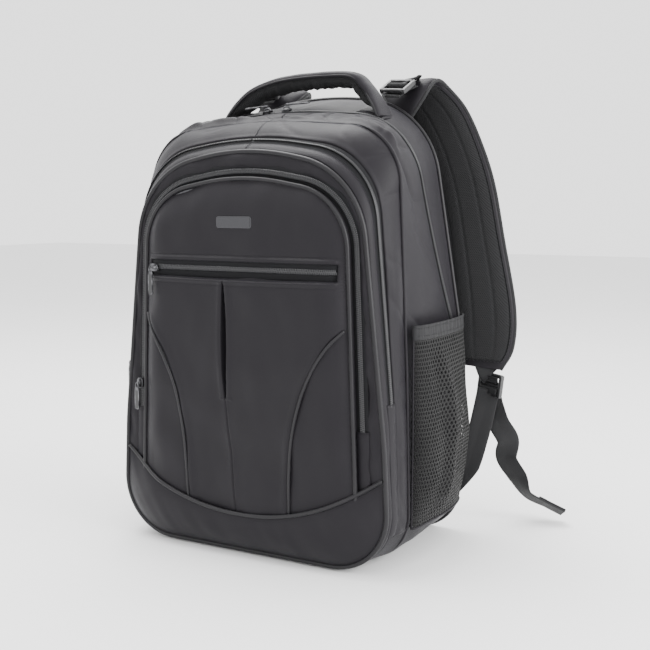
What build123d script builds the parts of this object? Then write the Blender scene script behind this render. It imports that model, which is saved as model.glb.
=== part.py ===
from build123d import *
import math
import os

# School backpack with three zipped compartments. Millimetres.
# X points right as seen from the front, Y runs from front to back, Z is up.
# The origin is on the floor, under the body.

# ---- depth of each layer, front to back ----
Y_POCKET = -104.0        # outer face of the front pocket
Y_CROWN = -98.0          # outer face of the panel above the pocket zipper
Y_FLAP = -94.0           # outer face of the organiser flap's lining
Y_BAND = -100.0          # outer face of the band across the foot of the front
Y_INNER_ARCH = -86.0     # inner arch seam, where the organiser flap ends
Y_FRONT = -78.0          # outer arch seam, front edge of the body
Y_MIDDLE_ZIP = -68.0     # zipper of the middle compartment
Y_SEAM = -38.0           # seam between the middle and the main compartment
Y_BACK = 96.0            # back edge of the body
Y_PAD = 108.0            # outer face of the back pads

FABRIC = 3.0             # padded side and front walls
LINING = 1.6             # plain fabric walls
GAP = 0.4                # clearance between pieces that do not touch

# ---- outline of the body at three depths ----
# half width and height of the base, waist and shoulder corners, height of the apex,
# then the radii of the base, waist, shoulder and crown
FRONT_OUTLINE = (163, 3, 157, 140, 131, 402, 427, 60, 400, 85, 300)
SEAM_OUTLINE = (163, -0.5, 158, 200, 148, 440, 452, 55, 400, 60, 550)
BACK_OUTLINE = (163, -0.5, 163, 220, 122, 472, 486, 50, 400, 98, 370)

# ---- inner arch: half width and height of the foot and shoulder corners, height of the apex ----
ARCH_FOOT_HALF = 129.0
ARCH_FOOT_Z = 44.0
ARCH_SHOULDER_HALF = 116.0
ARCH_SHOULDER_Z = 372.0
ARCH_APEX_Z = 393.0
ARCH_SHOULDER_R = 62.0
ARCH_CROWN_R = 260.0
ARCH_FOOT_R = 12.0

BASE_HEIGHT = 40.0       # top edge of the base tub
FLAP_HINGE_Z = 150.0     # fold line of the organiser flap
POCKET_ZIP_Z = 299.0     # zipper of the front pocket
POCKET_ZIP_HALF = 111.0
BAND_END_Z = 92.0        # the bottom band's top edge, at the sides
BAND_MID_Z = 47.0        # and at the middle

# ---- main zipper: a plane that leans back as it goes down ----
ZIP_CROWN_Y = 14.0
ZIP_CROWN_Z = 462.0
ZIP_END_Y = 80.0
ZIP_END_Z = 236.0
ZIP_HALF = 5.0           # half width of the zipper's tape
LIP_HALF = 95.0          # half width of the part of the crown that lifts when unzipped
MIDDLE_LIP_HALF = 80.0
LIP_GAP = 3.0
MIDDLE_LIP_GAP = 5.0

# ---- sliders and pulls ----
SLIDER_LENGTH = 11.0
SLIDER_WIDTH = 8.0
SLIDER_HEIGHT = 4.5
PULL_LENGTH = 30.0
PULL_WIDTH = 6.0
PULL_THICK = 1.8
PULL_HEEL = 1.2          # how far the pull reaches past its hinge
PULL_LIFT = 4.7          # height of a main pull's hinge over the top of its slider's body
MAIN_SLIDER_X = (-33.0, -9.0)

# ---- back pads ----
PAD_INNER = 22.0
PAD_OUTER = 104.0
TALL_PAD_Z = (142.0, 410.0)
LUMBAR_HALF = 108.0
LUMBAR_Z = (44.0, 128.0)
PAD_CORNER = 20.0

# ---- grab handle ----
HANDLE_Y = 36.0
HANDLE_HALF = 90.0
HANDLE_WIDTH = 27.0
HANDLE_THICK = 13.0
HANDLE_TOP_Z = 503.0
HANDLE_AXIS_Z = 463.0    # line through the two sewn feet
HANDLE_PAD_LIFT = 12.0   # the padding starts this far above it
HANDLE_NECK = 6.0
HANDLE_NECK_LIFT = 5.0

# ---- shoulder straps: the two edges of the right strap, from its sewn root over its crest to its foot ----
STRAP_THICK = 11.0
STRAP_INNER = (
    (79, 112, 458), (64, 117, 478), (52, 127, 492), (52, 139, 496), (60, 152, 488), (76, 158, 464),
    (98, 154, 427), (117, 147, 380), (130, 139, 325), (141, 131, 255), (147, 128, 205), (157, 128, 183),
)
STRAP_OUTER = (
    (93, 112, 459), (107, 117, 482), (113, 127, 498), (116, 139, 503), (121, 153, 496), (140, 160, 472),
    (160, 157, 434), (178, 152, 388), (192, 149, 325), (208, 145, 250), (208, 142, 205), (196, 138, 179),
)

WEBBING = 25.0           # width of the strap webbing
WEBBING_THICK = 1.6
BUCKLE_WIDTH = 33.0
BUCKLE_LENGTH = 26.0
BUCKLE_THICK = 6.0

# routes of the right webbing, with its direction across and its width at each point
ANCHOR_WEBBING = ((184, 130, 144), (178, 125, 110), (168, 117, 70), (154, 108, 38))
ANCHOR_ACROSS = ((0.94, 0.34, 0), (0.95, 0.3, 0), (0.95, 0.2, 0.1), (0.95, 0.1, 0.1))
ANCHOR_WIDTHS = (WEBBING, WEBBING, WEBBING, 7.0)
TAIL_WEBBING = ((188, 138, 144), (197, 146, 118), (204, 153, 84), (216, 161, 50), (238, 169, 22), (262, 176, 7))
TAIL_ACROSS = ((0.94, -0.34, 0), (0.8, -0.6, 0), (0.5, -0.86, 0), (0.4, -0.9, 0), (0.3, -0.95, 0), (0.3, -0.95, 0.1))
TAIL_WIDTHS = (WEBBING,) * 6
BUCKLE_CENTRE = (186.0, 134.0, 162.0)
LIFTER_BUCKLE = (84.0, 98.0, 494.0)
LIFTER_WEBBING = ((82, 87, 482), (83, 93, 485), (86, 104, 491), (92, 118, 497))
LIFTER_ACROSS = ((1, 0.1, 0),) * 4
LIFTER_WIDTHS = (20.0,) * 4

# ---- side pockets ----
POCKET_BOTTOM_Z = 42.0
POCKET_HEM_Z = 232.0
POCKET_TOP_Z = 246.0
POCKET_X = 164.2
POCKET_FRONT_Y = -35.0
POCKET_BACK_Y = 93.0

FAR = 900.0              # larger than the bag


def box(x0, x1, y0, y1, z0, z1):
    """Box between two corners."""
    centre = ((x0 + x1) / 2, (y0 + y1) / 2, (z0 + z1) / 2)
    return Pos(*centre) * Box(x1 - x0, y1 - y0, z1 - z0)


def front_plane(y):
    """Plane at depth y whose own axes are X and Z."""
    return Plane(origin=(0, y, 0), x_dir=(1, 0, 0), z_dir=(0, -1, 0))


def closed_outline(points, radii, y, grow):
    """Face at depth y inside rounded corners, grown or shrunk all round."""
    with BuildLine() as line:
        FilletPolyline(*points, radius=radii, close=True)
    face = make_face(line.line)
    if grow:
        face = offset(face, amount=grow, kind=Kind.INTERSECTION)
    return front_plane(y) * face


def body_outline(y, grow=0.0):
    """Outline of the whole body at depth y."""
    if y <= Y_SEAM:
        first, second = FRONT_OUTLINE, SEAM_OUTLINE
        share = (y - Y_FRONT) / (Y_SEAM - Y_FRONT)
    else:
        first, second = SEAM_OUTLINE, BACK_OUTLINE
        share = (y - Y_SEAM) / (Y_BACK - Y_SEAM)
    values = [a + (b - a) * share for a, b in zip(first, second)]
    base_half, base_z, waist_half, waist_z, half, shoulder_z, apex_z = values[:7]
    base_r, waist_r, shoulder_r, crown_r = values[7:]
    points = [
        (-base_half, base_z), (base_half, base_z), (waist_half, waist_z), (half, shoulder_z),
        (0, apex_z), (-half, shoulder_z), (-waist_half, waist_z),
    ]
    radii = [base_r, base_r, waist_r, shoulder_r, crown_r, shoulder_r, waist_r]
    return closed_outline(points, radii, y, grow)


def arch_outline(y, grow=0.0):
    """Outline of the inner arch at depth y."""
    points = [
        (-ARCH_FOOT_HALF, ARCH_FOOT_Z), (ARCH_FOOT_HALF, ARCH_FOOT_Z),
        (ARCH_SHOULDER_HALF, ARCH_SHOULDER_Z), (0, ARCH_APEX_Z),
        (-ARCH_SHOULDER_HALF, ARCH_SHOULDER_Z),
    ]
    radii = [ARCH_FOOT_R, ARCH_FOOT_R, ARCH_SHOULDER_R, ARCH_CROWN_R, ARCH_SHOULDER_R]
    return closed_outline(points, radii, y, grow)


def body_solid(y0, y1, grow=0.0):
    """The body between two depths, as one solid."""
    depths = [y0] + [y for y in (Y_SEAM,) if y0 < y < y1] + [y1]
    return loft([body_outline(y, grow) for y in depths], ruled=True)


def body_ring(y0, y1, thick, grow=0.0):
    """Wall of the body between two depths."""
    return body_solid(y0, y1, grow) - body_solid(y0 - 0.001, y1 + 0.001, grow - thick)


def arch_plate(y0, y1, grow=0.0):
    """Plate with the inner arch's outline."""
    return extrude(arch_outline(y0, grow), amount=y0 - y1)


def arch_ring(y0, y1, outside, inside):
    """Ring that follows the inner arch, between two offsets of it."""
    return arch_plate(y0, y1, outside) - arch_plate(y0 - 1, y1 + 1, inside)


def above(shape, z):
    """What a shape has above a height."""
    return shape & box(-FAR, FAR, -FAR, FAR, z, FAR)


def below(shape, z):
    """What a shape has below a height."""
    return shape & box(-FAR, FAR, -FAR, FAR, -FAR, z)


def one_side(shape, side, inner):
    """What a shape has on one side, further from the middle plane than a distance."""
    return shape & box(min(side * inner, side * FAR), max(side * inner, side * FAR), -FAR, FAR, -FAR, FAR)


def centre_part(shape, half):
    """What the crown of a shape has within a distance of the middle plane."""
    return shape & box(-half, half, -FAR, FAR, FRONT_OUTLINE[3], FAR)


def zip_plane(shift):
    """The main zipper's plane, moved backwards by a distance."""
    normal = Vector(0, ZIP_CROWN_Z - ZIP_END_Z, ZIP_END_Y - ZIP_CROWN_Y).normalized()
    origin = Vector(0, ZIP_CROWN_Y, ZIP_CROWN_Z) + normal * shift
    return Plane(origin=origin, x_dir=(1, 0, 0), z_dir=normal)


def ahead_of_zip(shape, shift):
    """What a shape has in front of the main zipper."""
    return split(shape, bisect_by=zip_plane(shift), keep=Keep.BOTTOM)


def behind_zip(shape, shift):
    """What a shape has behind the main zipper."""
    return split(shape, bisect_by=zip_plane(shift), keep=Keep.TOP)


# ---------------------------------------------------------------- body walls

def base_panel():
    """Tub that the bag stands on, flat underneath, up to the lower edge of the side walls."""
    return above(below(body_ring(Y_FRONT + FABRIC + GAP, Y_BACK - GAP, FABRIC), BASE_HEIGHT), 0)


def side_panel(side):
    """Side wall of the main compartment, from the seam to the main zipper."""
    wall = above(body_ring(Y_SEAM, Y_BACK, FABRIC), BASE_HEIGHT + GAP)
    return one_side(ahead_of_zip(wall, -ZIP_HALF - GAP), side, LIP_HALF + GAP)


def back_gusset():
    """Strip between the main zipper and the back, over the top, that carries the handle."""
    wall = above(body_ring(Y_SEAM, Y_BACK - GAP, FABRIC), BASE_HEIGHT + GAP)
    return behind_zip(wall, ZIP_HALF + GAP)


def main_lip():
    """Top of the main compartment in front of its zipper, which folds forwards when unzipped."""
    wall = centre_part(body_ring(Y_SEAM + LIP_GAP, Y_BACK, FABRIC), LIP_HALF)
    return ahead_of_zip(wall, -ZIP_HALF - LIP_GAP)


def main_zipper():
    """Closed zipper chain of the main compartment."""
    wall = above(body_ring(Y_SEAM, Y_BACK, LINING, -0.6), ZIP_END_Z)
    return behind_zip(ahead_of_zip(wall, ZIP_HALF), -ZIP_HALF)


def middle_gusset():
    """Two side strips between the middle zipper and the seam."""
    wall = above(body_ring(Y_MIDDLE_ZIP + ZIP_HALF, Y_SEAM - GAP, FABRIC), BASE_HEIGHT + GAP)
    return Compound([one_side(wall, side, MIDDLE_LIP_HALF + GAP).solid() for side in (-1, 1)])


def middle_lip():
    """Top of the middle compartment behind its zipper, which folds backwards when unzipped."""
    wall = body_ring(Y_MIDDLE_ZIP + ZIP_HALF + MIDDLE_LIP_GAP, Y_SEAM - LIP_GAP, FABRIC)
    return centre_part(wall, MIDDLE_LIP_HALF)


def middle_zipper():
    """Closed zipper chain of the middle compartment."""
    wall = body_ring(Y_MIDDLE_ZIP - ZIP_HALF + 2, Y_MIDDLE_ZIP + ZIP_HALF - GAP, LINING, -0.6)
    return above(wall, FLAP_HINGE_Z + 20)


def divider_wall():
    """Wall between the middle and the main compartment."""
    return extrude(body_outline(Y_SEAM, -FABRIC - GAP), amount=-LINING)


def back_panel():
    """Padded back wall, which holds the stiffener."""
    return above(extrude(body_outline(Y_BACK), amount=-FABRIC), 0)


def frame_sheet():
    """Plastic stiffener inside the back wall."""
    sheet = extrude(body_outline(Y_BACK - 2 * LINING - GAP, -14), amount=-LINING)
    return above(sheet, BASE_HEIGHT)


def back_pads():
    """Two tall air-mesh pads and a lumbar pad on the back wall."""
    y0 = Y_BACK + FABRIC + 0.01
    tall = box(PAD_INNER, PAD_OUTER, y0, Y_PAD, TALL_PAD_Z[0], TALL_PAD_Z[1])
    lumbar = box(-LUMBAR_HALF, LUMBAR_HALF, y0, Y_PAD, LUMBAR_Z[0], LUMBAR_Z[1])
    pads = [tall, mirror(tall, Plane.YZ), lumbar]
    return Compound([fillet(pad.edges().filter_by(Axis.Y), PAD_CORNER) for pad in pads])


# ---------------------------------------------------------------- front section

def front_border():
    """Front of the middle compartment, around the organiser."""
    face = body_outline(Y_FRONT - FABRIC, -1.0) - arch_outline(Y_FRONT - FABRIC, 1.0)
    plate = extrude(face, amount=-FABRIC)
    rim = body_ring(Y_FRONT + 0.01, Y_MIDDLE_ZIP - ZIP_HALF + 2 - GAP, FABRIC)
    return Compound([plate.solid(), above(rim, BASE_HEIGHT + GAP).solid()])


def organiser_wall():
    """Back wall of the organiser."""
    return arch_plate(Y_FRONT - LINING, Y_FRONT, 0.4)


def organiser_zipper():
    """Closed zipper chain around the organiser flap."""
    return above(arch_ring(Y_INNER_ARCH, Y_FRONT - FABRIC - GAP, 14, 5), FLAP_HINGE_Z)


def organiser_gusset():
    """Short wall between the organiser's zipper and its front."""
    return below(arch_ring(Y_FLAP - GAP, Y_FRONT - FABRIC - GAP, 3.6, 1.0), FLAP_HINGE_Z - 2)


def pen_pocket():
    """Row of pockets on the organiser's back wall, sewn into slots for pens and a phone."""
    y0 = Y_FRONT - LINING - 3.4
    panel = box(-104, 104, y0, y0 + LINING, FLAP_HINGE_Z - 60, FLAP_HINGE_Z + 96)
    seams = [box(x - 0.8, x + 0.8, y0 + LINING, Y_FRONT - LINING - GAP, FLAP_HINGE_Z - 60, FLAP_HINGE_Z + 96)
             for x in (-104 + 0.8, -40, -18, 4, 26, 104 - 0.8)]
    floor = box(-104, 104, y0 + LINING, Y_FRONT - LINING - GAP, FLAP_HINGE_Z - 60, FLAP_HINGE_Z - 58)
    result = panel + floor
    for seam in seams:
        result = result + seam
    return result


def front_panel():
    """Fixed lower part of the front, under the flap's fold."""
    return below(arch_plate(Y_FLAP - FABRIC - GAP, Y_FLAP - GAP, -0.4), FLAP_HINGE_Z - 1)


def bottom_band():
    """Curved band across the foot of the front, under its smile-shaped seam."""
    with BuildLine() as line:
        ThreePointArc((-150, BAND_END_Z), (0, BAND_MID_Z), (150, BAND_END_Z))
        Polyline((150, BAND_END_Z), (150, -20), (-150, -20), (-150, BAND_END_Z))
    smile = extrude(front_plane(Y_POCKET - 20) * make_face(line.line), amount=-60)
    outside = loft([body_outline(Y_INNER_ARCH, -4), body_outline(Y_BAND, -15)], ruled=True)
    inside = loft([body_outline(Y_INNER_ARCH + 1, -7), body_outline(Y_BAND + 2, -18)], ruled=True)
    return (outside - inside) & smile


def band_piping():
    """Piping along the bottom band's seam."""
    with BuildLine() as line:
        ThreePointArc((-146, BAND_END_Z - 1), (0, BAND_MID_Z + 2), (146, BAND_END_Z - 1))
    strip = trace(line.line, line_width=4)
    return extrude(front_plane(Y_BAND - GAP) * strip, amount=3.0)


def outer_piping():
    """Closed piping loop around the front of the body."""
    y0 = Y_FRONT - FABRIC - 4.4
    face = body_outline(y0, 1.5) - body_outline(y0, -3.5)
    return extrude(face, amount=-4.0)


def flap_panel():
    """Organiser flap: a lined front that folds down when its zipper is open."""
    return above(arch_plate(Y_FLAP, Y_FLAP + LINING), FLAP_HINGE_Z + 1)


def flap_crown():
    """Outer panel of the flap above the pocket's zipper."""
    return above(arch_plate(Y_CROWN, Y_FLAP - GAP, -1), POCKET_ZIP_Z + 10)


def pocket_panel():
    """Front pocket on the flap, open at the top under its zipper."""
    bag = arch_plate(Y_POCKET, Y_FLAP - GAP, -1) - arch_plate(Y_POCKET + FABRIC, Y_FLAP + 1, -1 - FABRIC)
    bag = below(above(bag, FLAP_HINGE_Z + 1), POCKET_ZIP_Z - 10)
    half = ARCH_FOOT_HALF - 9
    return bag + box(-half, half, Y_POCKET + 1, Y_FLAP - GAP, FLAP_HINGE_Z + 1, FLAP_HINGE_Z + 1 + FABRIC)


def pocket_zipper():
    """Closed zipper chain of the front pocket, in its shallow recess."""
    return box(-POCKET_ZIP_HALF, POCKET_ZIP_HALF, Y_CROWN + 1.5, Y_FLAP - GAP, POCKET_ZIP_Z - 9, POCKET_ZIP_Z + 9)


def flap_piping():
    """Piping along the edge of the organiser flap."""
    return above(arch_ring(Y_FLAP - 2, Y_INNER_ARCH - GAP, 4, 0.4), FLAP_HINGE_Z + 1)


def badge():
    """Small blank badge on the flap."""
    plate = box(-24, 18, Y_CROWN - 2.2, Y_CROWN - 0.01, 341, 353)
    return fillet(plate.edges().filter_by(Axis.Y), 3)


def zipper_covers():
    """Four small fabric tabs that cover the lower ends of the two front zippers."""
    covers = []
    for side in (-1, 1):
        x = side * (ARCH_FOOT_HALF + 9)
        covers.append(box(x - 7, x + 7, Y_INNER_ARCH - 1.6, Y_INNER_ARCH - GAP, 118, 149))
        x = side * 160
        covers.append(box(x - 1, x + 1, Y_MIDDLE_ZIP - 7, Y_MIDDLE_ZIP + 7, 130, 168))
    return Compound(covers)


# ---------------------------------------------------------------- inside

def laptop_sleeve():
    """Padded sleeve against the back, open at the top."""
    front = box(-128, 128, Y_BACK - 26, Y_BACK - 22, 52, 330)
    floor = box(-128, 128, Y_BACK - 22, Y_BACK - 6, 52, 57)
    sides = [box(side * 126 - 2, side * 126 + 2, Y_BACK - 22, Y_BACK - 6, 57, 330) for side in (-1, 1)]
    return front + floor + sides[0] + sides[1]


def sleeve_strap():
    """Touch-fastener strap over the laptop sleeve."""
    return box(-19, 19, Y_BACK - 29, Y_BACK - 27, 300, 385) + box(-19, 19, Y_BACK - 29, Y_BACK - 6, 385, 387)


# ---------------------------------------------------------------- sliders and pulls

def slider(place):
    """Zipper slider, its length along local X and its outer face up."""
    body = Box(SLIDER_LENGTH, SLIDER_WIDTH, SLIDER_HEIGHT)
    body = chamfer(body.edges().filter_by(Axis.Z), 2.0)
    bridge = Pos(0, 0, SLIDER_HEIGHT / 2 + 1.2) * Box(SLIDER_LENGTH - 3, 2.4, 2.4)
    slot = Pos(0, 0, SLIDER_HEIGHT / 2 + 0.6) * Box(SLIDER_LENGTH - 6.5, 4, 1.6)
    return place * (body + bridge - slot)


def pull(place):
    """Pull tab that hangs along local -X from its ring at the local origin."""
    with BuildSketch() as shape:
        with Locations((-PULL_LENGTH / 2 + PULL_HEEL, 0)):
            SlotOverall(PULL_LENGTH, PULL_WIDTH)
        with Locations((-3.0, 0)):
            SlotOverall(5, 3.2, mode=Mode.SUBTRACT)
    return place * (Pos(0, 0, -PULL_THICK / 2) * extrude(shape.sketch, amount=PULL_THICK))


def crown_circle():
    """Centre height and radius of the main zipper's crown."""
    share = (ZIP_CROWN_Y - Y_SEAM) / (Y_BACK - Y_SEAM)
    radius = SEAM_OUTLINE[10] + (BACK_OUTLINE[10] - SEAM_OUTLINE[10]) * share
    half = SEAM_OUTLINE[4] + (BACK_OUTLINE[4] - SEAM_OUTLINE[4]) * share
    shoulder = SEAM_OUTLINE[5] + (BACK_OUTLINE[5] - SEAM_OUTLINE[5]) * share
    apex = SEAM_OUTLINE[6] + (BACK_OUTLINE[6] - SEAM_OUTLINE[6]) * share
    slope = math.atan2(apex - shoulder, half)
    top = apex - radius * (1 / math.cos(slope) - 1)
    return top - radius, radius


def main_slider_place(x, lift):
    """Frame on the crown of the main zipper, its Z axis outwards and its X axis along the zipper."""
    centre_z, radius = crown_circle()
    angle = math.asin(x / radius)
    normal = (math.sin(angle), -0.27, math.cos(angle))
    reach = radius + lift
    origin = (reach * math.sin(angle), ZIP_CROWN_Y, centre_z + reach * math.cos(angle))
    return Plane(origin=origin, x_dir=(math.cos(angle), 0, -math.sin(angle)), z_dir=normal).location


def main_slider(index):
    """One of the two sliders that meet at the top of the main zipper."""
    return slider(main_slider_place(MAIN_SLIDER_X[index], SLIDER_HEIGHT / 2 + GAP))


def main_pull(index):
    """Pull of a main slider, lying along the zipper, away from the other one."""
    turn = 0 if index == 0 else 180
    place = main_slider_place(MAIN_SLIDER_X[index], SLIDER_HEIGHT + PULL_LIFT)
    return place * pull(Rot(0, 0, turn))


def leg_direction(x0, z0, x1, z1):
    """Unit vector along the straight left leg of a zipper."""
    length = math.hypot(x1 - x0, z1 - z0)
    return ((x1 - x0) / length, 0, (z1 - z0) / length)


MIDDLE_SHARE = (Y_MIDDLE_ZIP - Y_FRONT) / (Y_SEAM - Y_FRONT)
MIDDLE_CORNERS = [a + (b - a) * MIDDLE_SHARE for a, b in zip(FRONT_OUTLINE[2:6], SEAM_OUTLINE[2:6])]
MIDDLE_LEG = leg_direction(-MIDDLE_CORNERS[0], MIDDLE_CORNERS[1], -MIDDLE_CORNERS[2], MIDDLE_CORNERS[3])
ORGANISER_LEG = leg_direction(-ARCH_FOOT_HALF, ARCH_FOOT_Z, -ARCH_SHOULDER_HALF, ARCH_SHOULDER_Z)
MIDDLE_SLIDER = (-158.2, Y_MIDDLE_ZIP, 190.0)
ORGANISER_SLIDER = (-133.6, Y_INNER_ARCH - 3.2, 172.0)
POCKET_SLIDER = (-104.0, Y_CROWN - 1.4, POCKET_ZIP_Z)


def middle_slider():
    """Slider of the middle zipper, on its left leg."""
    place = Plane(origin=MIDDLE_SLIDER, x_dir=MIDDLE_LEG, z_dir=(-MIDDLE_LEG[2], 0, MIDDLE_LEG[0])).location
    return slider(place)


def middle_pull():
    """Pull of the middle slider, hanging down."""
    x, y, z = MIDDLE_SLIDER
    return pull(Plane(origin=(x - 7.2, y, z), x_dir=(0, 0, 1), z_dir=(-1, 0, 0)).location)


def organiser_slider():
    """Slider of the organiser zipper, on its left leg."""
    place = Plane(origin=ORGANISER_SLIDER, x_dir=ORGANISER_LEG, z_dir=(0, -1, 0)).location
    return slider(place)


def organiser_pull():
    """Pull of the organiser slider, hanging down."""
    x, y, z = ORGANISER_SLIDER
    return pull(Plane(origin=(x, y - 7.2, z), x_dir=(0, 0, 1), z_dir=(0, -1, 0)).location)


def pocket_slider():
    """Slider of the front pocket, at the left end of its zipper."""
    place = Plane(origin=POCKET_SLIDER, x_dir=(1, 0, 0), z_dir=(0, -1, 0)).location
    return slider(place)


def pocket_pull():
    """Pull of the front pocket's slider, hanging down."""
    x, y, z = POCKET_SLIDER
    return pull(Plane(origin=(x, y - 7.2, z), x_dir=(0, 0, 1), z_dir=(0, -1, 0)).location)


# ---------------------------------------------------------------- handle and straps

def handle_arch(width):
    """Arch of the handle in side view, drawn as wide as asked."""
    crown = HANDLE_TOP_Z - HANDLE_AXIS_Z
    top_half = HANDLE_HALF * 0.62
    foot = HANDLE_HALF - HANDLE_THICK * 1.3
    inner_half = top_half - HANDLE_THICK * 0.6
    with BuildLine() as line:
        FilletPolyline((-HANDLE_HALF, 0), (-top_half, crown), (top_half, crown), (HANDLE_HALF, 0), radius=[34, 34])
        Line((HANDLE_HALF, 0), (foot, 0))
        FilletPolyline(
            (foot, 0), (inner_half, crown - HANDLE_THICK), (-inner_half, crown - HANDLE_THICK), (-foot, 0),
            radius=[22, 22])
        Line((-foot, 0), (-HANDLE_HALF, 0))
    plane = Plane(origin=(0, HANDLE_Y - width / 2, HANDLE_AXIS_Z), x_dir=(1, 0, 0), z_dir=(0, -1, 0))
    return extrude(plane * make_face(line.line), amount=-width)


def grab_handle():
    """Padded carrying handle, a low arch whose two narrow feet are sewn to the top."""
    pad = above(handle_arch(HANDLE_WIDTH), HANDLE_AXIS_Z + HANDLE_PAD_LIFT)
    return pad + above(handle_arch(HANDLE_NECK), HANDLE_AXIS_Z + HANDLE_NECK_LIFT)


def handle_patches():
    """Two reinforcing patches that the handle's feet are sewn to."""
    skin = body_ring(Y_SEAM, Y_BACK, 1.2, 1.4)
    patches = []
    for side in (-1, 1):
        x = side * (HANDLE_HALF - 8)
        patches.append((skin & box(x - 12, x + 12, HANDLE_Y - 15, HANDLE_Y + 15, 400, FAR)).solid())
    return Compound(patches)


def ribbon(centres, across, widths, thick):
    """Flat band through points, with a direction across it and a width at each."""
    sections = []
    last = len(centres) - 1
    for index, centre in enumerate(centres):
        along = (Vector(*centres[min(index + 1, last)]) - Vector(*centres[max(index - 1, 0)])).normalized()
        wide = Vector(*across[index])
        wide = (wide - along * wide.dot(along)).normalized()
        plane = Plane(origin=centre, x_dir=wide, z_dir=along)
        sections.append(plane * Rectangle(widths[index], thick))
    return loft(sections, ruled=True)


def on_side(shape, side):
    """A shape drawn for the right, or its mirror image for the left."""
    return shape if side > 0 else mirror(shape, Plane.YZ)


def strap(side):
    """Padded shoulder strap, from the top of the back round to its lower buckle."""
    inner = [Vector(*point) for point in STRAP_INNER]
    outer = [Vector(*point) for point in STRAP_OUTER]
    centres = [tuple((a + b) * 0.5) for a, b in zip(inner, outer)]
    across = [tuple(b - a) for a, b in zip(inner, outer)]
    widths = [(b - a).length for a, b in zip(inner, outer)]
    return on_side(ribbon(centres, across, widths, STRAP_THICK), side)


def lower_webbing(side):
    """Adjusting webbing from the bag's foot to the buckle, and its free tail beyond it."""
    up = ribbon(ANCHOR_WEBBING, ANCHOR_ACROSS, ANCHOR_WIDTHS, WEBBING_THICK)
    tail = ribbon(TAIL_WEBBING, TAIL_ACROSS, TAIL_WIDTHS, WEBBING_THICK)
    return on_side(Compound([up.solid(), tail.solid()]), side)


def ladder_lock(centre, along, through):
    """Three-bar adjusting buckle, its length along one direction and its face along another."""
    frame = Box(BUCKLE_LENGTH, BUCKLE_WIDTH, BUCKLE_THICK)
    frame = fillet(frame.edges().filter_by(Axis.Z), 4)
    for x in (-7, 4.5):
        frame = frame - Pos(x, 0, 0) * Box(5.5, BUCKLE_WIDTH - 7, 2 * BUCKLE_THICK)
    return Plane(origin=centre, x_dir=along, z_dir=through).location * frame


def lower_buckle(side):
    """Ladder lock under the shoulder strap."""
    return on_side(ladder_lock(BUCKLE_CENTRE, (0.1, 0.05, 1), (0.34, 0.94, -0.08)), side)


def lifter_buckle(side):
    """Ladder lock of the load lifter, over the top of the back."""
    return on_side(ladder_lock(LIFTER_BUCKLE, (0.15, 0.85, 0.5), (0, -0.5, 0.85)), side)


def lifter_webbing(side):
    """Short webbing from the top of the bag to the strap."""
    return on_side(ribbon(LIFTER_WEBBING, LIFTER_ACROSS, LIFTER_WIDTHS, WEBBING_THICK), side)


def anchor_tab(side):
    """Fabric triangle at the foot of the back that holds the lower webbing."""
    with BuildLine() as line:
        Polyline((112, 42), (150, 12), (158, 34), (112, 42))
    return on_side(extrude(front_plane(Y_BACK + FABRIC + GAP) * make_face(line.line), amount=-2.6), side)


# ---------------------------------------------------------------- side pockets

def pocket_section(z, bulge, inset):
    """D-shaped plan of a side pocket at a height."""
    middle = (POCKET_FRONT_Y + POCKET_BACK_Y) / 2
    with BuildLine() as line:
        ThreePointArc(
            (POCKET_X, POCKET_FRONT_Y + inset), (POCKET_X + bulge - inset, middle),
            (POCKET_X, POCKET_BACK_Y - inset))
        Line((POCKET_X, POCKET_BACK_Y - inset), (POCKET_X, POCKET_FRONT_Y + inset))
    return Plane.XY.offset(z) * make_face(line.line)


def pocket_wall(levels, thick):
    """Wall of a side pocket through several heights, each with its own bulge."""
    outer = loft([pocket_section(z, bulge, 0) for z, bulge in levels], ruled=True)
    inner = loft([pocket_section(z, bulge, thick) for z, bulge in levels], ruled=True)
    return outer - inner


def mesh_pocket(side):
    """Mesh side pocket with a closed bottom."""
    wall = pocket_wall(((POCKET_BOTTOM_Z, 20), (125, 27), (POCKET_HEM_Z, 13)), 2.4)
    floor = extrude(pocket_section(POCKET_BOTTOM_Z, 20, 0), amount=-2.4)
    return on_side(wall + floor, side)


def pocket_hem(side):
    """Elastic hem along the top of the mesh pocket."""
    return on_side(pocket_wall(((POCKET_HEM_Z + 0.01, 13), (POCKET_TOP_Z, 10)), 3.0), side)


SIDES = {"left": -1, "right": 1}


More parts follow.
